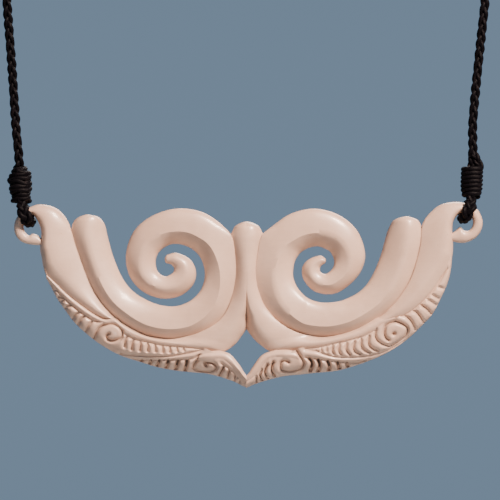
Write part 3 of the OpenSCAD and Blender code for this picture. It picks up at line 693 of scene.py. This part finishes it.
VEE_SHAPE = [
    (0, 0.50, 5.1, 0.3, 0.4, 0.0, 0.0), (2, 0.42, 5.4, 0.5, 0.8, 0.0, 0.0),
    (3, 0.36, 5.3, 0.5, 1.1, 0.0, 0.0), (4, 0.34, 5.3, 0.5, 1.2, 0.7, 0.0),
    (7, 0.34, 5.3, 0.5, 1.4, 0.7, 0.0), (9, 0.38, 5.1, 0.5, 1.4, 0.7, 0.0)]
CRESCENT_BOW = [(0, 2.0)]

crescent_left = tucked(CRESCENT_LEFT, 11, 22, 0.45)
crescent_right = tucked(CRESCENT_RIGHT, 11, 22, 0.45)
plate_parts["crescent_left"] = limb(crescent_left, CRESCENT_SHAPE, CRESCENT_BOW)
plate_parts["crescent_right"] = limb(crescent_right, CRESCENT_SHAPE, CRESCENT_BOW, like=crescent_left)
plate_parts["vee_left"] = limb(VEE_LEFT, VEE_SHAPE, noses=(0.5, 0))
plate_parts["vee_right"] = limb(VEE_RIGHT, VEE_SHAPE, noses=(0.5, 0))
tell_parts("crescent_left", "crescent_right", "vee_left", "vee_right")

# %% [markdown]
# The carved border
# Below the lip the plate falls away to its rim, and that strip is cut with ribs, curls and lines. Cutting
# them one by one with booleans would be slow and would leave hard edges. Instead the strip is one fine
# grid between the lip and the rim, and every cut is a line drawn on it: a point near a line sinks by an
# amount that depends on its distance. The bone between two cuts rounds off like a little pillow.

# %% Cuts of the left border
# Half width and depth of each kind of cut
CUT_RIB, CUT_DARK, CUT_NOTCH = (0.56, 0.50), (0.70, 1.25), (0.50, 0.85)
CUT_LINE, CUT_CURL, CUT_FAINT = (0.36, 0.30), (0.54, 0.64), (0.60, 0.30)

CUTS_LEFT = [
    (CUT_RIB, [
        [(-45.0, -14.6), (-46.0, -14.9)], [(-43.2, -16.4), (-44.1, -16.2)],
        [(-43.0, -17.0), (-44.6, -17.6)], [(-41.3, -18.2), (-42.2, -18.5), (-43.3, -19.6)],
        [(-39.2, -19.8), (-40.1, -20.4), (-41.4, -22.0)],
        [(-38.0, -20.7), (-38.9, -21.5), (-40.0, -23.3)],
        [(-36.3, -22.0), (-37.3, -23.2), (-38.2, -25.0)],
        [(-28.0, -25.5), (-28.6, -26.4), (-28.6, -27.8)],
        [(-26.4, -26.2), (-26.9, -27.0), (-27.0, -28.4)], [(-24.9, -26.8), (-25.1, -28.7)],
        [(-23.2, -27.0), (-23.2, -28.8)], [(-21.5, -27.4), (-21.4, -28.9)],
        [(-19.7, -27.7), (-19.7, -29.1)], [(-18.0, -27.9), (-18.1, -29.1)],
        [(-16.3, -28.0), (-16.4, -28.9)], [(-14.8, -28.2), (-14.8, -28.7)]]),
    (CUT_LINE, [
        [(-46.4, -13.0), (-44.6, -14.5), (-43.2, -16.1), (-41.0, -18.2), (-38.2, -20.3), (-36.0, -21.8),
         (-34.6, -21.9)],
        [(-29.7, -29.5), (-28.0, -29.8), (-25.0, -30.0), (-20.5, -30.2), (-18.0, -30.1), (-14.7, -29.6),
         (-12.5, -29.2), (-10.8, -28.8)],
        [(-28.6, -25.0), (-26.5, -26.1), (-25.0, -26.5), (-22.0, -27.1), (-19.8, -27.6), (-17.0, -27.9),
         (-12.5, -28.1), (-10.5, -28.6)],
        [(-30.2, -30.2), (-28.0, -30.6), (-25.0, -30.9), (-20.0, -31.0), (-15.0, -30.9), (-12.4, -30.6),
         (-11.5, -30.1)],
        [(-5.9, -31.8), (-5.2, -32.3), (-4.3, -32.9), (-3.4, -33.6), (-2.5, -34.4), (-1.7, -35.2),
         (-0.8, -36.2)]]),
    (CUT_DARK, [
        [(-22.5, -31.2), (-23.0, -32.4)], [(-20.5, -31.2), (-21.2, -32.9)],
        [(-18.4, -31.2), (-19.0, -33.2)], [(-16.1, -31.2), (-16.8, -33.6)],
        [(-14.0, -31.2), (-14.6, -34.0)], [(-24.6, -31.1), (-25.0, -31.6)]]),
    (CUT_CURL, [
        [(-36.0, -26.4), (-35.7, -25.4), (-35.2, -24.4), (-34.5, -23.5), (-33.4, -22.8), (-32.0, -22.4),
         (-30.8, -22.6), (-29.7, -23.3), (-29.2, -24.3), (-29.2, -25.3), (-29.7, -26.0), (-30.5, -26.3),
         (-31.5, -26.5), (-32.5, -26.2), (-32.9, -25.5), (-32.4, -24.9)],
        [(-11.0, -29.9), (-11.5, -30.8), (-12.1, -31.6), (-12.5, -32.3), (-12.3, -33.0), (-11.6, -33.4),
         (-10.7, -33.7), (-9.5, -33.8), (-8.4, -33.7), (-7.6, -33.4), (-7.1, -32.9), (-7.1, -32.5),
         (-7.6, -32.0), (-8.3, -31.6), (-9.1, -31.5), (-9.7, -31.8), (-9.5, -32.3)]]),
    (CUT_NOTCH, [
        [(-5.4, -32.7), (-5.8, -33.5), (-6.4, -34.6)], [(-3.9, -33.4), (-4.2, -34.2), (-4.4, -35.1)],
        [(-2.6, -34.7), (-2.9, -35.8)], [(-1.5, -35.8), (-1.7, -36.4)]])]
print("cuts on the left:", sum(len(lines) for _, lines in CUTS_LEFT))

# %% Cuts of the right border
CUTS_RIGHT = [
    (CUT_RIB, [
        [(36.2, -20.3), (37.5, -20.8), (38.7, -22.0), (39.6, -23.8)],
        [(39.1, -19.5), (40.0, -19.9), (41.7, -22.2)], [(40.8, -18.0), (42.3, -19.0), (43.4, -20.1)],
        [(30.3, -23.9), (30.1, -25.0), (30.6, -26.3), (32.0, -27.3), (33.9, -27.9)],
        [(28.7, -25.3), (28.5, -26.8), (29.2, -28.1), (30.8, -28.9)],
        [(26.9, -26.0), (26.8, -27.4), (27.5, -28.6), (28.8, -29.3)],
        [(25.3, -26.6), (25.0, -28.0), (25.5, -29.1), (26.7, -29.7)],
        [(23.5, -27.0), (23.3, -28.5), (24.2, -29.7)], [(21.8, -27.2), (21.5, -28.6), (22.1, -29.7)],
        [(20.2, -27.5), (20.0, -28.6), (20.4, -29.5)]]),
    (CUT_FAINT, [
        [(42.1, -16.6), (43.3, -17.3), (44.5, -18.1)], [(43.6, -15.7), (45.0, -16.6)],
        [(45.2, -13.9), (46.0, -14.2)]]),
    (CUT_LINE, [
        [(46.9, -9.6), (45.6, -12.0), (44.0, -14.4), (41.9, -16.8), (39.5, -18.9), (37.2, -20.3)],
        [(18.8, -27.9), (18.7, -28.9)], [(17.5, -28.2), (17.5, -28.9)],
        [(14.2, -28.5), (16.5, -28.9), (18.0, -29.5), (19.5, -30.0), (21.0, -30.3), (23.0, -30.4),
         (25.0, -30.4), (27.0, -30.3), (29.0, -30.0), (31.0, -29.5), (33.0, -28.8), (35.0, -27.8),
         (37.0, -26.6)],
        [(13.8, -28.4), (15.5, -28.3), (18.0, -27.9), (21.0, -27.1), (23.0, -26.8), (25.0, -26.2),
         (27.0, -25.7), (28.5, -25.0), (30.3, -23.8)],
        [(13.8, -30.4), (17.0, -30.9), (20.0, -31.3), (23.0, -31.6), (26.0, -31.6), (29.0, -31.0)]]),
    (CUT_DARK, [
        [(14.8, -30.7), (15.4, -31.8), (15.0, -33.4)], [(16.8, -31.0), (17.2, -32.2), (16.9, -33.7)],
        [(19.1, -31.3), (19.5, -32.4), (19.4, -33.4)], [(21.4, -31.6), (21.9, -33.0)],
        [(23.6, -31.8), (24.0, -32.8)]]),
    (CUT_CURL, [
        [(34.0, -27.8), (35.8, -26.7), (37.0, -25.8), (37.6, -24.8), (37.8, -24.0), (37.6, -23.3),
         (37.0, -22.8), (36.0, -22.3), (35.0, -22.0), (34.0, -22.1), (33.1, -22.5), (32.5, -23.2),
         (32.3, -24.5), (32.6, -25.7), (33.3, -26.3)],
        [(34.5, -24.9), (34.7, -24.8)],
        [(11.8, -28.9), (12.5, -30.0), (13.1, -30.9), (13.4, -31.8), (13.0, -32.8), (12.0, -33.4),
         (10.5, -33.7), (9.0, -33.6), (8.2, -33.2), (7.9, -32.4), (8.1, -31.6), (8.9, -31.1), (9.8, -31.5)]]),
    (CUT_NOTCH, [
        [(6.3, -31.5), (5.9, -32.4), (5.9, -33.5), (6.7, -34.7)],
        [(4.9, -32.1), (4.4, -33.0), (4.3, -34.0), (5.0, -35.2)],
        [(3.5, -33.4), (3.1, -34.5), (3.7, -35.7)], [(2.3, -35.0), (2.4, -36.2)]])]
print("cuts on the right:", sum(len(lines) for _, lines in CUTS_RIGHT))

# %% How far a point is from the cuts
MARK_STEP = 0.06


def nearest_distance(points, marks, reach):
    """Distance from each point to the nearest mark, and reach where that is further. The points are taken
    in slices 1 mm wide along x, each with only the marks that are within reach of it."""
    result = np.full(len(points), float(reach))
    for left in np.arange(np.floor(points[:, 0].min()), points[:, 0].max() + 1):
        inside = np.flatnonzero((points[:, 0] >= left) & (points[:, 0] < left + 1))
        near = marks[(marks[:, 0] > left - reach) & (marks[:, 0] < left + 1 + reach)]
        if len(inside) and len(near):
            away = points[inside, None, :] - near[None, :, :]
            result[inside] = np.minimum(np.sqrt((away ** 2).sum(-1).min(axis=1)), reach)
    return result


def marks_along(lines):
    """Points every 0.06 mm along smooth curves through the lines' points."""
    return np.concatenate([even_line(np.array(line, float), MARK_STEP) for line in lines])


CUT_REACH = 2.0
CUT_POWER = 1.2
PILLOW_DEPTH = 0.45
PILLOW_REACH = 0.55


def cut_depth(points, cuts):
    """How deep each point (x, z) lies under the uncut border. A cut of half width w and depth d takes
    d * (1 - distance / w)^1.2, and the bone beside it rounds down by 0.45 * exp(-(distance / 0.55)^2)."""
    depth, nearest = np.zeros(len(points)), np.full(len(points), CUT_REACH)
    for (half_width, deep), lines in cuts:
        away = nearest_distance(points, marks_along(lines), CUT_REACH)
        depth = np.maximum(depth, deep * np.clip(1 - away / half_width, 0, 1) ** CUT_POWER)
        nearest = np.minimum(nearest, away)
    return depth + PILLOW_DEPTH * np.exp(-(nearest / PILLOW_REACH) ** 2)


# %% The border's grid
BORDER_LEFT = [
    (-47.4, -9.5, -47.6, -9.6), (-46.6, -11.2, -46.9, -11.9), (-45.2, -13.2, -46.1, -13.6),
    (-43.1, -15.5, -44.6, -16.5), (-40.7, -17.8, -42.6, -19.4), (-38.0, -19.8, -40.4, -22.3),
    (-35.3, -21.4, -37.6, -24.9), (-33.0, -22.2, -34.9, -27.0), (-30.9, -22.3, -32.0, -28.8),
    (-28.3, -24.0, -29.3, -30.1), (-25.2, -25.8, -26.0, -31.2), (-20.6, -26.8, -21.2, -32.7),
    (-16.0, -27.4, -16.3, -33.6), (-12.0, -28.0, -12.2, -34.0), (-9.3, -28.4, -9.2, -34.3),
    (-7.0, -29.8, -6.4, -35.0), (-5.2, -31.0, -4.2, -35.7), (-3.6, -32.4, -2.6, -36.3),
    (-2.2, -34.0, -1.3, -37.0), (-0.9, -35.3, -0.4, -37.4), (0.1, -36.0, 0.1, -37.6)]
BORDER_RIGHT = [
    (48.1, -5.7, 48.4, -5.8), (47.0, -8.7, 48.0, -10.0), (45.3, -11.6, 47.1, -13.4),
    (43.6, -14.0, 45.6, -16.7), (41.6, -16.5, 43.7, -20.3), (39.2, -18.7, 41.0, -23.2),
    (36.9, -20.2, 38.3, -25.8), (34.6, -21.3, 35.2, -28.1), (32.2, -22.3, 32.2, -29.8),
    (29.4, -24.0, 29.2, -31.1), (25.8, -25.6, 25.6, -32.4), (21.3, -26.7, 21.2, -33.6),
    (16.4, -27.7, 16.4, -34.1), (12.4, -28.2, 12.6, -34.5), (9.4, -29.6, 9.4, -34.8),
    (7.2, -30.0, 6.8, -35.3), (5.5, -30.6, 4.6, -35.9), (4.0, -32.0, 3.0, -36.4), (2.7, -33.8, 1.6, -36.9),
    (1.2, -35.3, 0.5, -37.4), (-0.1, -36.0, -0.1, -37.6)]
# Row, height at the lip, fall to the rim and corner at the rim
BORDER_SHAPE = [
    (0, 4.4, 0.8, 1.0), (5, 4.8, 1.5, 1.4), (9, 5.0, 2.2, 1.4), (11, 5.1, 3.4, 1.1), (16, 5.0, 3.3, 1.1),
    (20, 4.5, 2.0, 1.1)]
BORDER_STEP = 0.15
BORDER_ACROSS = 44
BORDER_FALL, BORDER_CORNER = 2.5, 7
RIM_SHARE = 0.06
RIM_ROUNDING = 0.5


def border(edge_rows, cuts):
    """The closed strip between lip and rim. At share t from lip to rim its height is
    h - fall * t^2.5 - corner * (1 - sqrt(1 - t^7)) - the cut's depth. Over the last 0.06 of t the cuts
    fade to a quarter of their depth, and the columns stand closer there."""
    shape = np.array(BORDER_SHAPE, float)
    fine = np.linspace(0, len(edge_rows) - 1, LIMB_FINE * len(edge_rows))
    along = lengths_along(smooth_rows(edge_rows, fine)[:, 2:])
    places = np.interp(np.linspace(0, along[-1], int(along[-1] / BORDER_STEP)), along, fine)
    edges = smooth_rows(edge_rows, places)
    lip, fall, corner = (np.interp(places, shape[:, 0], shape[:, k])[:, None] for k in (1, 2, 3))
    t = np.linspace(0, 1, BORDER_ACROSS)[None, :]
    t = t + RIM_SHARE * np.sin(np.pi * t) * t
    flat = edges[:, None, :2] + t[..., None] * (edges[:, None, 2:] - edges[:, None, :2])
    depth = cut_depth(flat.reshape(-1, 2), cuts).reshape(len(edges), -1)
    rim = np.clip((1 - t) / RIM_SHARE, 0.25, 1)
    height = lip - fall * t ** BORDER_FALL - corner * (1 - np.sqrt(1 - t ** BORDER_CORNER)) - depth * rim
    outward = edges[:, 2:] - edges[:, :2]
    outward /= np.linalg.norm(outward, axis=1, keepdims=True)
    inset = RIM_ROUNDING * (1 - np.cos(QUARTER_TURN))
    rim_flat = edges[:, None, 2:] - inset[None, :, None] * outward[:, None, :]
    rim_height = np.repeat(RIM_ROUNDING * (1 - np.sin(QUARTER_TURN))[None, :], len(edges), axis=0)
    flat = np.concatenate([edges[:, None, :2], flat, rim_flat], axis=1)
    height = np.concatenate([0 * height[:, :1], height, rim_height], axis=1)
    return closed_tube(np.stack([flat[..., 0], BACK_Y - height, flat[..., 1]], axis=-1))


plate_parts["border_left"] = border(BORDER_LEFT, CUTS_LEFT)
plate_parts["border_right"] = border(BORDER_RIGHT, CUTS_RIGHT)
tell_parts("border_left", "border_right")

# %% [markdown]
# One piece of bone
# The limbs overlap, but the real plate is one piece. A Boolean modifier set to union joins them with the
# exact crossing lines, which is what makes the thin V between two limbs. The result is then read back from
# the evaluated mesh, so no modifier and no helper object is left.

# %% Join the limbs
def union_of(name, parts):
    """One closed mesh from several closed parts, by Boolean modifiers on the first one."""
    helpers = [placed(key, mesh_of(key, [part])) for key, part in parts.items()]
    for helper in helpers[1:]:
        joining = helpers[0].modifiers.new("join", "BOOLEAN")
        joining.operation = "UNION"
        joining.solver = "MANIFOLD"
        joining.object = helper
    bpy.context.view_layer.update()
    ready = helpers[0].evaluated_get(bpy.context.evaluated_depsgraph_get())
    mesh = bpy.data.meshes.new_from_object(ready)
    mesh.name = name
    for helper in helpers:
        bpy.data.objects.remove(helper)
    return placed(name, mesh)


plate = union_of("carved_breastplate", plate_parts)
mesh = plate.data
print("plate:", len(mesh.vertices), "points,", len(mesh.loops) - 2 * len(mesh.polygons), "triangles")
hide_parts("breastplate")
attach(plate, "root")

# %% [markdown]
# Where the stain and the painted shade sit
# Years of wear, or the maker's tea stain, leave brown in the places that a polishing cloth can't reach: the
# V between two limbs and the bottoms of the cuts. The same mark also paints shade there: darker along the
# creases and near black in the deepest cuts. A shader can't see those places by itself, so the mesh carries
# them as an attribute. Where one face rises in front of its neighbour the edge between them folds inwards,
# and such an edge that is sharp is a crease. The attribute falls off with the distance from it. In the cuts
# it grows with their depth.

# %% Find the creases and store the stain and painted shade
# Least angle in degrees and strength of the stain and painted shade at each kind of crease
CREASES = ((24, 0.35), (55, 0.5))
CREASE_REACH = 0.5
CREASE_FRONT, CARVED_FRONT = 1.0, 1.5
SEAM_HALF, SEAM_FOOT, POINT_TOP = 0.3, -17.0, -34.8
FULL_DEPTH = 0.75
BORDER_CREST, BORDER_TOP = -2.2, -9
SHARP_ANGLE = 42.0


def values_of(items, key, width=1, kind=float):
    """A property of all of a mesh's items as an array, with a row for each item if it is a vector."""
    values = np.zeros(len(items) * width, kind)
    items.foreach_get(key, values)
    return values.reshape(-1, width) if width > 1 else values


def points_of(mesh):
    """The mesh's points in millimetres, counted from the level of the hook holes."""
    return values_of(mesh.vertices, "co", 3) / MM + [0, 0, DROP]


def concave_edge_points(mesh, least_angle):
    """Midpoints, in millimetres, of edges that fold inwards by more than an angle: with n1, n2 the normals
    and c1, c2 the middles of an edge's two faces, it folds inwards where (c2 - c1) . n1 > 0."""
    normal = values_of(mesh.polygons, "normal", 3)
    middle = values_of(mesh.polygons, "center", 3)
    loop_edge = values_of(mesh.loops, "edge_index", kind=np.int32)
    face_of_loop = np.repeat(np.arange(len(normal)), values_of(mesh.polygons, "loop_total", kind=np.int32))
    order = np.argsort(loop_edge, kind="stable")
    sorted_edges = loop_edge[order]
    first = np.flatnonzero(sorted_edges[:-1] == sorted_edges[1:])
    one, two = face_of_loop[order[first]], face_of_loop[order[first + 1]]
    cosine = np.einsum("ij,ij->i", normal[one], normal[two])
    inward = np.einsum("ij,ij->i", middle[two] - middle[one], normal[one]) > 0
    found = sorted_edges[first][inward & (cosine < np.cos(np.radians(least_angle)))]
    ends = values_of(mesh.edges, "vertices", 2, np.int32)
    return points_of(mesh)[ends[found]].mean(axis=1)


# The halves' joint on the middle plane is no crease, apart from the groove that divides the column
plate_points = points_of(mesh)
front = np.flatnonzero(plate_points[:, 1] < CARVED_FRONT)
stain_and_painted_shade = np.zeros(len(plate_points))
# Near the creases the mark is brown stain together with painted shade
for least_angle, strength in CREASES:
    creases = concave_edge_points(mesh, least_angle)
    joined = (creases[:, 2] > SEAM_FOOT) | (creases[:, 2] < POINT_TOP)
    joined &= np.abs(creases[:, 0]) < SEAM_HALF
    creases = creases[(creases[:, 1] < CREASE_FRONT) & ~joined]
    away = nearest_distance(plate_points[front], creases, CREASE_REACH)
    stain_and_painted_shade[front] = np.maximum(stain_and_painted_shade[front], strength * (1 - away / CREASE_REACH))
low = front[(plate_points[front, 1] > BORDER_CREST) & (plate_points[front, 2] < BORDER_TOP)]
# In the cuts the mark grows with depth, from brown stain to near black painted shade at the deepest bottoms
for side, table in ((-1, CUTS_LEFT), (1, CUTS_RIGHT)):
    spots = low[plate_points[low, 0] * side > -1]
    depth = cut_depth(plate_points[spots][:, [0, 2]], table)
    stain_and_painted_shade[spots] = np.maximum(stain_and_painted_shade[spots], np.clip((depth - PILLOW_DEPTH) / FULL_DEPTH, 0, 1))
stored = mesh.attributes.new("stain_and_painted_shade", "FLOAT", "POINT")
stored.data.foreach_set("value", stain_and_painted_shade.astype(np.float32))
mesh.polygons.foreach_set("use_smooth", np.ones(len(mesh.polygons), bool))
mesh.set_sharp_from_angle(angle=np.radians(SHARP_ANGLE))
print("sharp crease edges:", len(creases), " points with patina:", int((stain_and_painted_shade > 0.3).sum()))

# %% [markdown]
# Shader maths as Python
# A material is a graph of nodes. Wiring dozens of Math nodes by hand hides the formula, so a small class
# wraps a socket and adds a node for each operator. Then 1 - mask or noise * 0.2 reads as what it is.

# %% A socket that can do sums
class Wire:
    """A socket of a material's node tree. Sums on values add Math nodes to the tree."""

    def __init__(self, tree, socket):
        self.tree = tree
        self.socket = socket

    def maths(self, operation, *others):
        """The result of a Math node for an operation on this value and the others."""
        return add_node(self.tree, "ShaderNodeMath", {"operation": operation},
                        dict(enumerate([self, *others])))

    def __add__(self, other):
        return self.maths("ADD", other)

    def __sub__(self, other):
        return self.maths("SUBTRACT", other)

    def __mul__(self, other):
        return self.maths("MULTIPLY", other)

    def __rsub__(self, other):
        return (self * -1.0) + other

    __radd__ = __add__
    __rmul__ = __mul__

    def step(self, low, high):
        """Nought below low, one above high, and a smooth rise between."""
        return add_node(self.tree, "ShaderNodeMapRange", {"interpolation_type": "SMOOTHSTEP"},
                        {"Value": self, "From Min": low, "From Max": high})


def add_node(tree, kind, settings=None, inputs=None, output=0):
    """Adds a node of a kind, sets its settings, then gives its sockets values or links. Returns an output
    as a Wire."""
    node = tree.nodes.new(kind)
    for key, value in (settings or {}).items():
        setattr(node, key, value)
    for key, value in (inputs or {}).items():
        if isinstance(value, Wire):
            tree.links.new(value.socket, node.inputs[key])
        else:
            node.inputs[key].default_value = value
    return Wire(tree, node.outputs[output])


def blend_colours(factor, first, second):
    """The first colour where the factor is nought and the second where it is one. The first is a Wire or,
    like the second, three numbers."""
    first = first if isinstance(first, Wire) else (*first, 1)
    return add_node(factor.tree, "ShaderNodeMix", {"data_type": "RGBA"},
                    {0: factor, 6: first, 7: (*second, 1)}, output=2)


def stretched(tree, scale):
    """Object coordinates scaled by three factors, in features for each metre."""
    place = add_node(tree, "ShaderNodeTexCoord", output=3)
    return add_node(tree, "ShaderNodeMapping", {}, {"Vector": place, "Scale": scale})


def noise(tree, scale, detail=3.0, roughness=0.55):
    """A noise value from 0 to 1 whose grain is 1 / scale metres along each axis."""
    return add_node(tree, "ShaderNodeTexNoise", {},
                    {"Vector": stretched(tree, scale), "Scale": 1.0, "Detail": detail,
                     "Roughness": roughness})


def new_material(name, constants):
    """A material with one Principled shader, whose unvarying sockets are set to the constants."""
    material = bpy.data.materials.new(name)
    material.use_nodes = True
    shader = material.node_tree.nodes["Principled BSDF"]
    for key, value in constants.items():
        shader.inputs[key].default_value = value
    return material, material.node_tree, shader


def dress(shader, colour, rough, height, strength, distance):
    """Links a colour and a roughness to a shader, and its normal to a bump: strength times a height of up
    to distance metres."""
    bumped = add_node(height.tree, "ShaderNodeBump", {},
                      {"Strength": strength, "Distance": distance, "Height": height})
    for key, wire in (("Base Color", colour), ("Roughness", rough), ("Normal", bumped)):
        wire.tree.links.new(wire.socket, shader.inputs[key])


# %% [markdown]
# Polished bone
# Bone is never one colour. It is a warm ivory with paler and pinker clouds, faint grain along the length of
# the shin it came from, and a few pinprick pores. It is polished, so it has a soft sheen with sharper
# glints, and light enters it a little, which warms the shadows. The stain and painted shade attribute turns
# it brown in the creases and cuts, and lays near black painted shade in the deepest cuts.

# %% The bone material
def bone_material(name, with_stain_and_shade):
    """Clouds of about 12 mm and 3 mm shift the ivory, grain stretched along x streaks it, and pores are
    the rare peaks of a fine noise. The stain and painted shade attribute, broken up by noise, blends it to
    brown stain and then to near black painted shade, in two steps."""
    material, tree, shader = new_material(name, {
        "Subsurface Weight": 0.05, "Subsurface Radius": (1.0, 0.75, 0.62), "Subsurface Scale": 0.0011,
        "IOR": 1.54, "Coat Weight": 0.22, "Coat Roughness": 0.14, "Coat IOR": 1.5})
    clouds = noise(tree, (75, 75, 75))
    small_clouds = noise(tree, (330, 330, 330), detail=4.0)
    grain = noise(tree, (160, 1500, 1500), roughness=0.6)
    pores = noise(tree, (900, 1700, 1700), detail=1.0).step(0.735, 0.80)
    ivory = blend_colours(clouds.step(0.35, 0.68), (0.55, 0.375, 0.285), (0.61, 0.425, 0.325))
    ivory = blend_colours(small_clouds.step(0.40, 0.72) * 0.35, ivory, (0.64, 0.465, 0.365))
    ivory = blend_colours(grain.step(0.30, 0.75) * 0.16, ivory, (0.44, 0.300, 0.220))
    ivory = blend_colours(pores * 0.45, ivory, (0.40, 0.24, 0.15))
    rough = 0.40 + (grain - 0.5) * 0.10 + (small_clouds - 0.5) * 0.10
    if with_stain_and_shade:
        shade_and_stain = add_node(tree, "ShaderNodeAttribute", {"attribute_name": "stain_and_painted_shade"}, output=2)
        broken = (shade_and_stain + (small_clouds - 0.5) * 0.25).step(0.40, 1.0)
        # A light brown stain in the creases and the cuts
        ivory = blend_colours(shade_and_stain.step(0.0, 0.9) * 0.12, ivory, (0.32, 0.235, 0.19))
        # Painted shade: near black in the deepest cuts and, more faintly, along the creases
        ivory = blend_colours(broken * 0.5 + shade_and_stain.step(0.78, 1.0) * 0.4, ivory, (0.080, 0.046, 0.034))
        rough = rough + broken * 0.25
    dress(shader, ivory, rough, grain * 0.35 + small_clouds * 0.65 - pores * 0.8, 0.35, 0.00006)
    print(name, len(tree.nodes), "nodes")
    return material


plate.data.materials.clear()
plate.data.materials.append(bone_material("polished_bone", True))
clasp.data.materials.append(bone_material("turned_bone", False))

# %% [markdown]
# Waxed thread
# The cord is black waxed polyester. It looks black even where light falls on it, with faint purplish glints
# where wax catches on the fibres; these glints are painted into its colour as paler patches. Fine fibres lie
# along each thread, and the wax leaves dull and shiny spots.

# %% The thread material
def thread_material():
    """Near black, with paler patches of painted glint in rare spots of wax, where the roughness also drops; a
    fine noise gives fibres to the bump and the roughness.
    """
    material, tree, shader = new_material("waxed_thread", {
        "IOR": 1.46, "Specular IOR Level": 0.06, "Sheen Weight": 0.01, "Sheen Roughness": 0.5})
    wax_and_painted_glint = noise(tree, (700, 700, 700))
    fibres = noise(tree, (5200, 5200, 2600), roughness=0.7)
    colour = blend_colours(fibres.step(0.30, 0.80), (0.0012, 0.0010, 0.0018), (0.0042, 0.0034, 0.0052))
    # Paler purplish patches in the wax spots are painted glints
    colour = blend_colours(wax_and_painted_glint.step(0.56, 0.78) * 0.5, colour, (0.020, 0.013, 0.015))
    rough = 0.50 + (fibres - 0.5) * 0.3 - wax_and_painted_glint.step(0.5, 0.8) * 0.12
    dress(shader, colour, rough, fibres, 0.6, 0.00010)
    print("waxed thread", len(tree.nodes), "nodes")
    return material


waxed = thread_material()
for piece in black_pieces.values():
    piece.data.materials.append(waxed)

# %% [markdown]
# The studio
# In the photograph the slopes that face left and down are in shade, so its light stood at the upper
# right. One warm softbox there does the same. A tiny weak lamp at the lower left adds the thin glints on
# the crests, and a third light shows the back. The surround is a plain pale blue, brightest at the
# horizon and dimmer above and below, so that the shaded slopes stay dark. The floor lies well below the
# hanging pendant, or the light that it returns would wash out the same slopes.

# %% Lights
PLATE_MIDDLE = np.array([0, 0, -0.185])


def softbox(name, place, size, watts, colour=(1, 0.98, 0.95)):
    """A square area light that faces the middle of the plate. It tips about x by the steepness of the line
    to the plate and turns about z by that line's heading."""
    data = bpy.data.lights.new(name, "AREA")
    data.size = size
    data.energy = watts
    data.color = colour
    lamp = placed(name, data)
    lamp.location = place
    toward = PLATE_MIDDLE - place
    flat = np.hypot(toward[0], toward[1])
    lamp.rotation_euler = (np.arctan2(flat, -toward[2]), 0, np.arctan2(-toward[0], toward[1]))
    print(name, "stands", round(float(np.linalg.norm(toward)), 2), "m from the plate")


softbox("key", (0.39, -0.50, 0.35), 0.18, 26.0, (1, 0.77, 0.63))
softbox("glint", (-0.16, -0.62, -0.40), 0.025, 0.35)
softbox("behind", (0.15, 0.50, 0.20), 0.40, 3.5)

# %% Surround and floor
HORIZON_GLOW, SURROUND_LEAST, GLOW_FALL = 0.23, 0.10, -12.0
FLOOR_Z, FLOOR_RADIUS, FLOOR_CORNERS = -0.80, 1.2, 96

# The strength is 0.23 * exp(-12 * up^2) + 0.10, where up is the upward part of a unit direction
surround = bpy.data.worlds.new("pale_surround")
surround.use_nodes = True
sky = surround.node_tree
looking = add_node(sky, "ShaderNodeTexCoord")
upward = add_node(sky, "ShaderNodeSeparateXYZ", {}, {"Vector": looking}, output=2)
horizon = (upward * upward * GLOW_FALL).maths("EXPONENT")
strength = horizon * HORIZON_GLOW + SURROUND_LEAST
sky.links.new(strength.socket, sky.nodes["Background"].inputs["Strength"])
sky.nodes["Background"].inputs["Color"].default_value = (0.50, 0.72, 1.0, 1)
bpy.context.scene.world = surround

# The floor is a disc: cosine and sine of even angles, times the radius
turn = 2 * np.pi * np.arange(FLOOR_CORNERS) / FLOOR_CORNERS
disc = np.stack([np.cos(turn), np.sin(turn), 0 * turn], axis=1) * FLOOR_RADIUS + [0, 0, FLOOR_Z]
floor_mesh = bpy.data.meshes.new("floor")
floor_mesh.from_pydata(disc.tolist(), [], [list(range(FLOOR_CORNERS))])
floor = placed("floor", floor_mesh)
pale = {"Roughness": 0.8, "Base Color": (0.78, 0.78, 0.76, 1)}
floor.data.materials.append(new_material("pale_floor", pale)[0])
print("floor", FLOOR_RADIUS, "m in radius, at", FLOOR_Z)
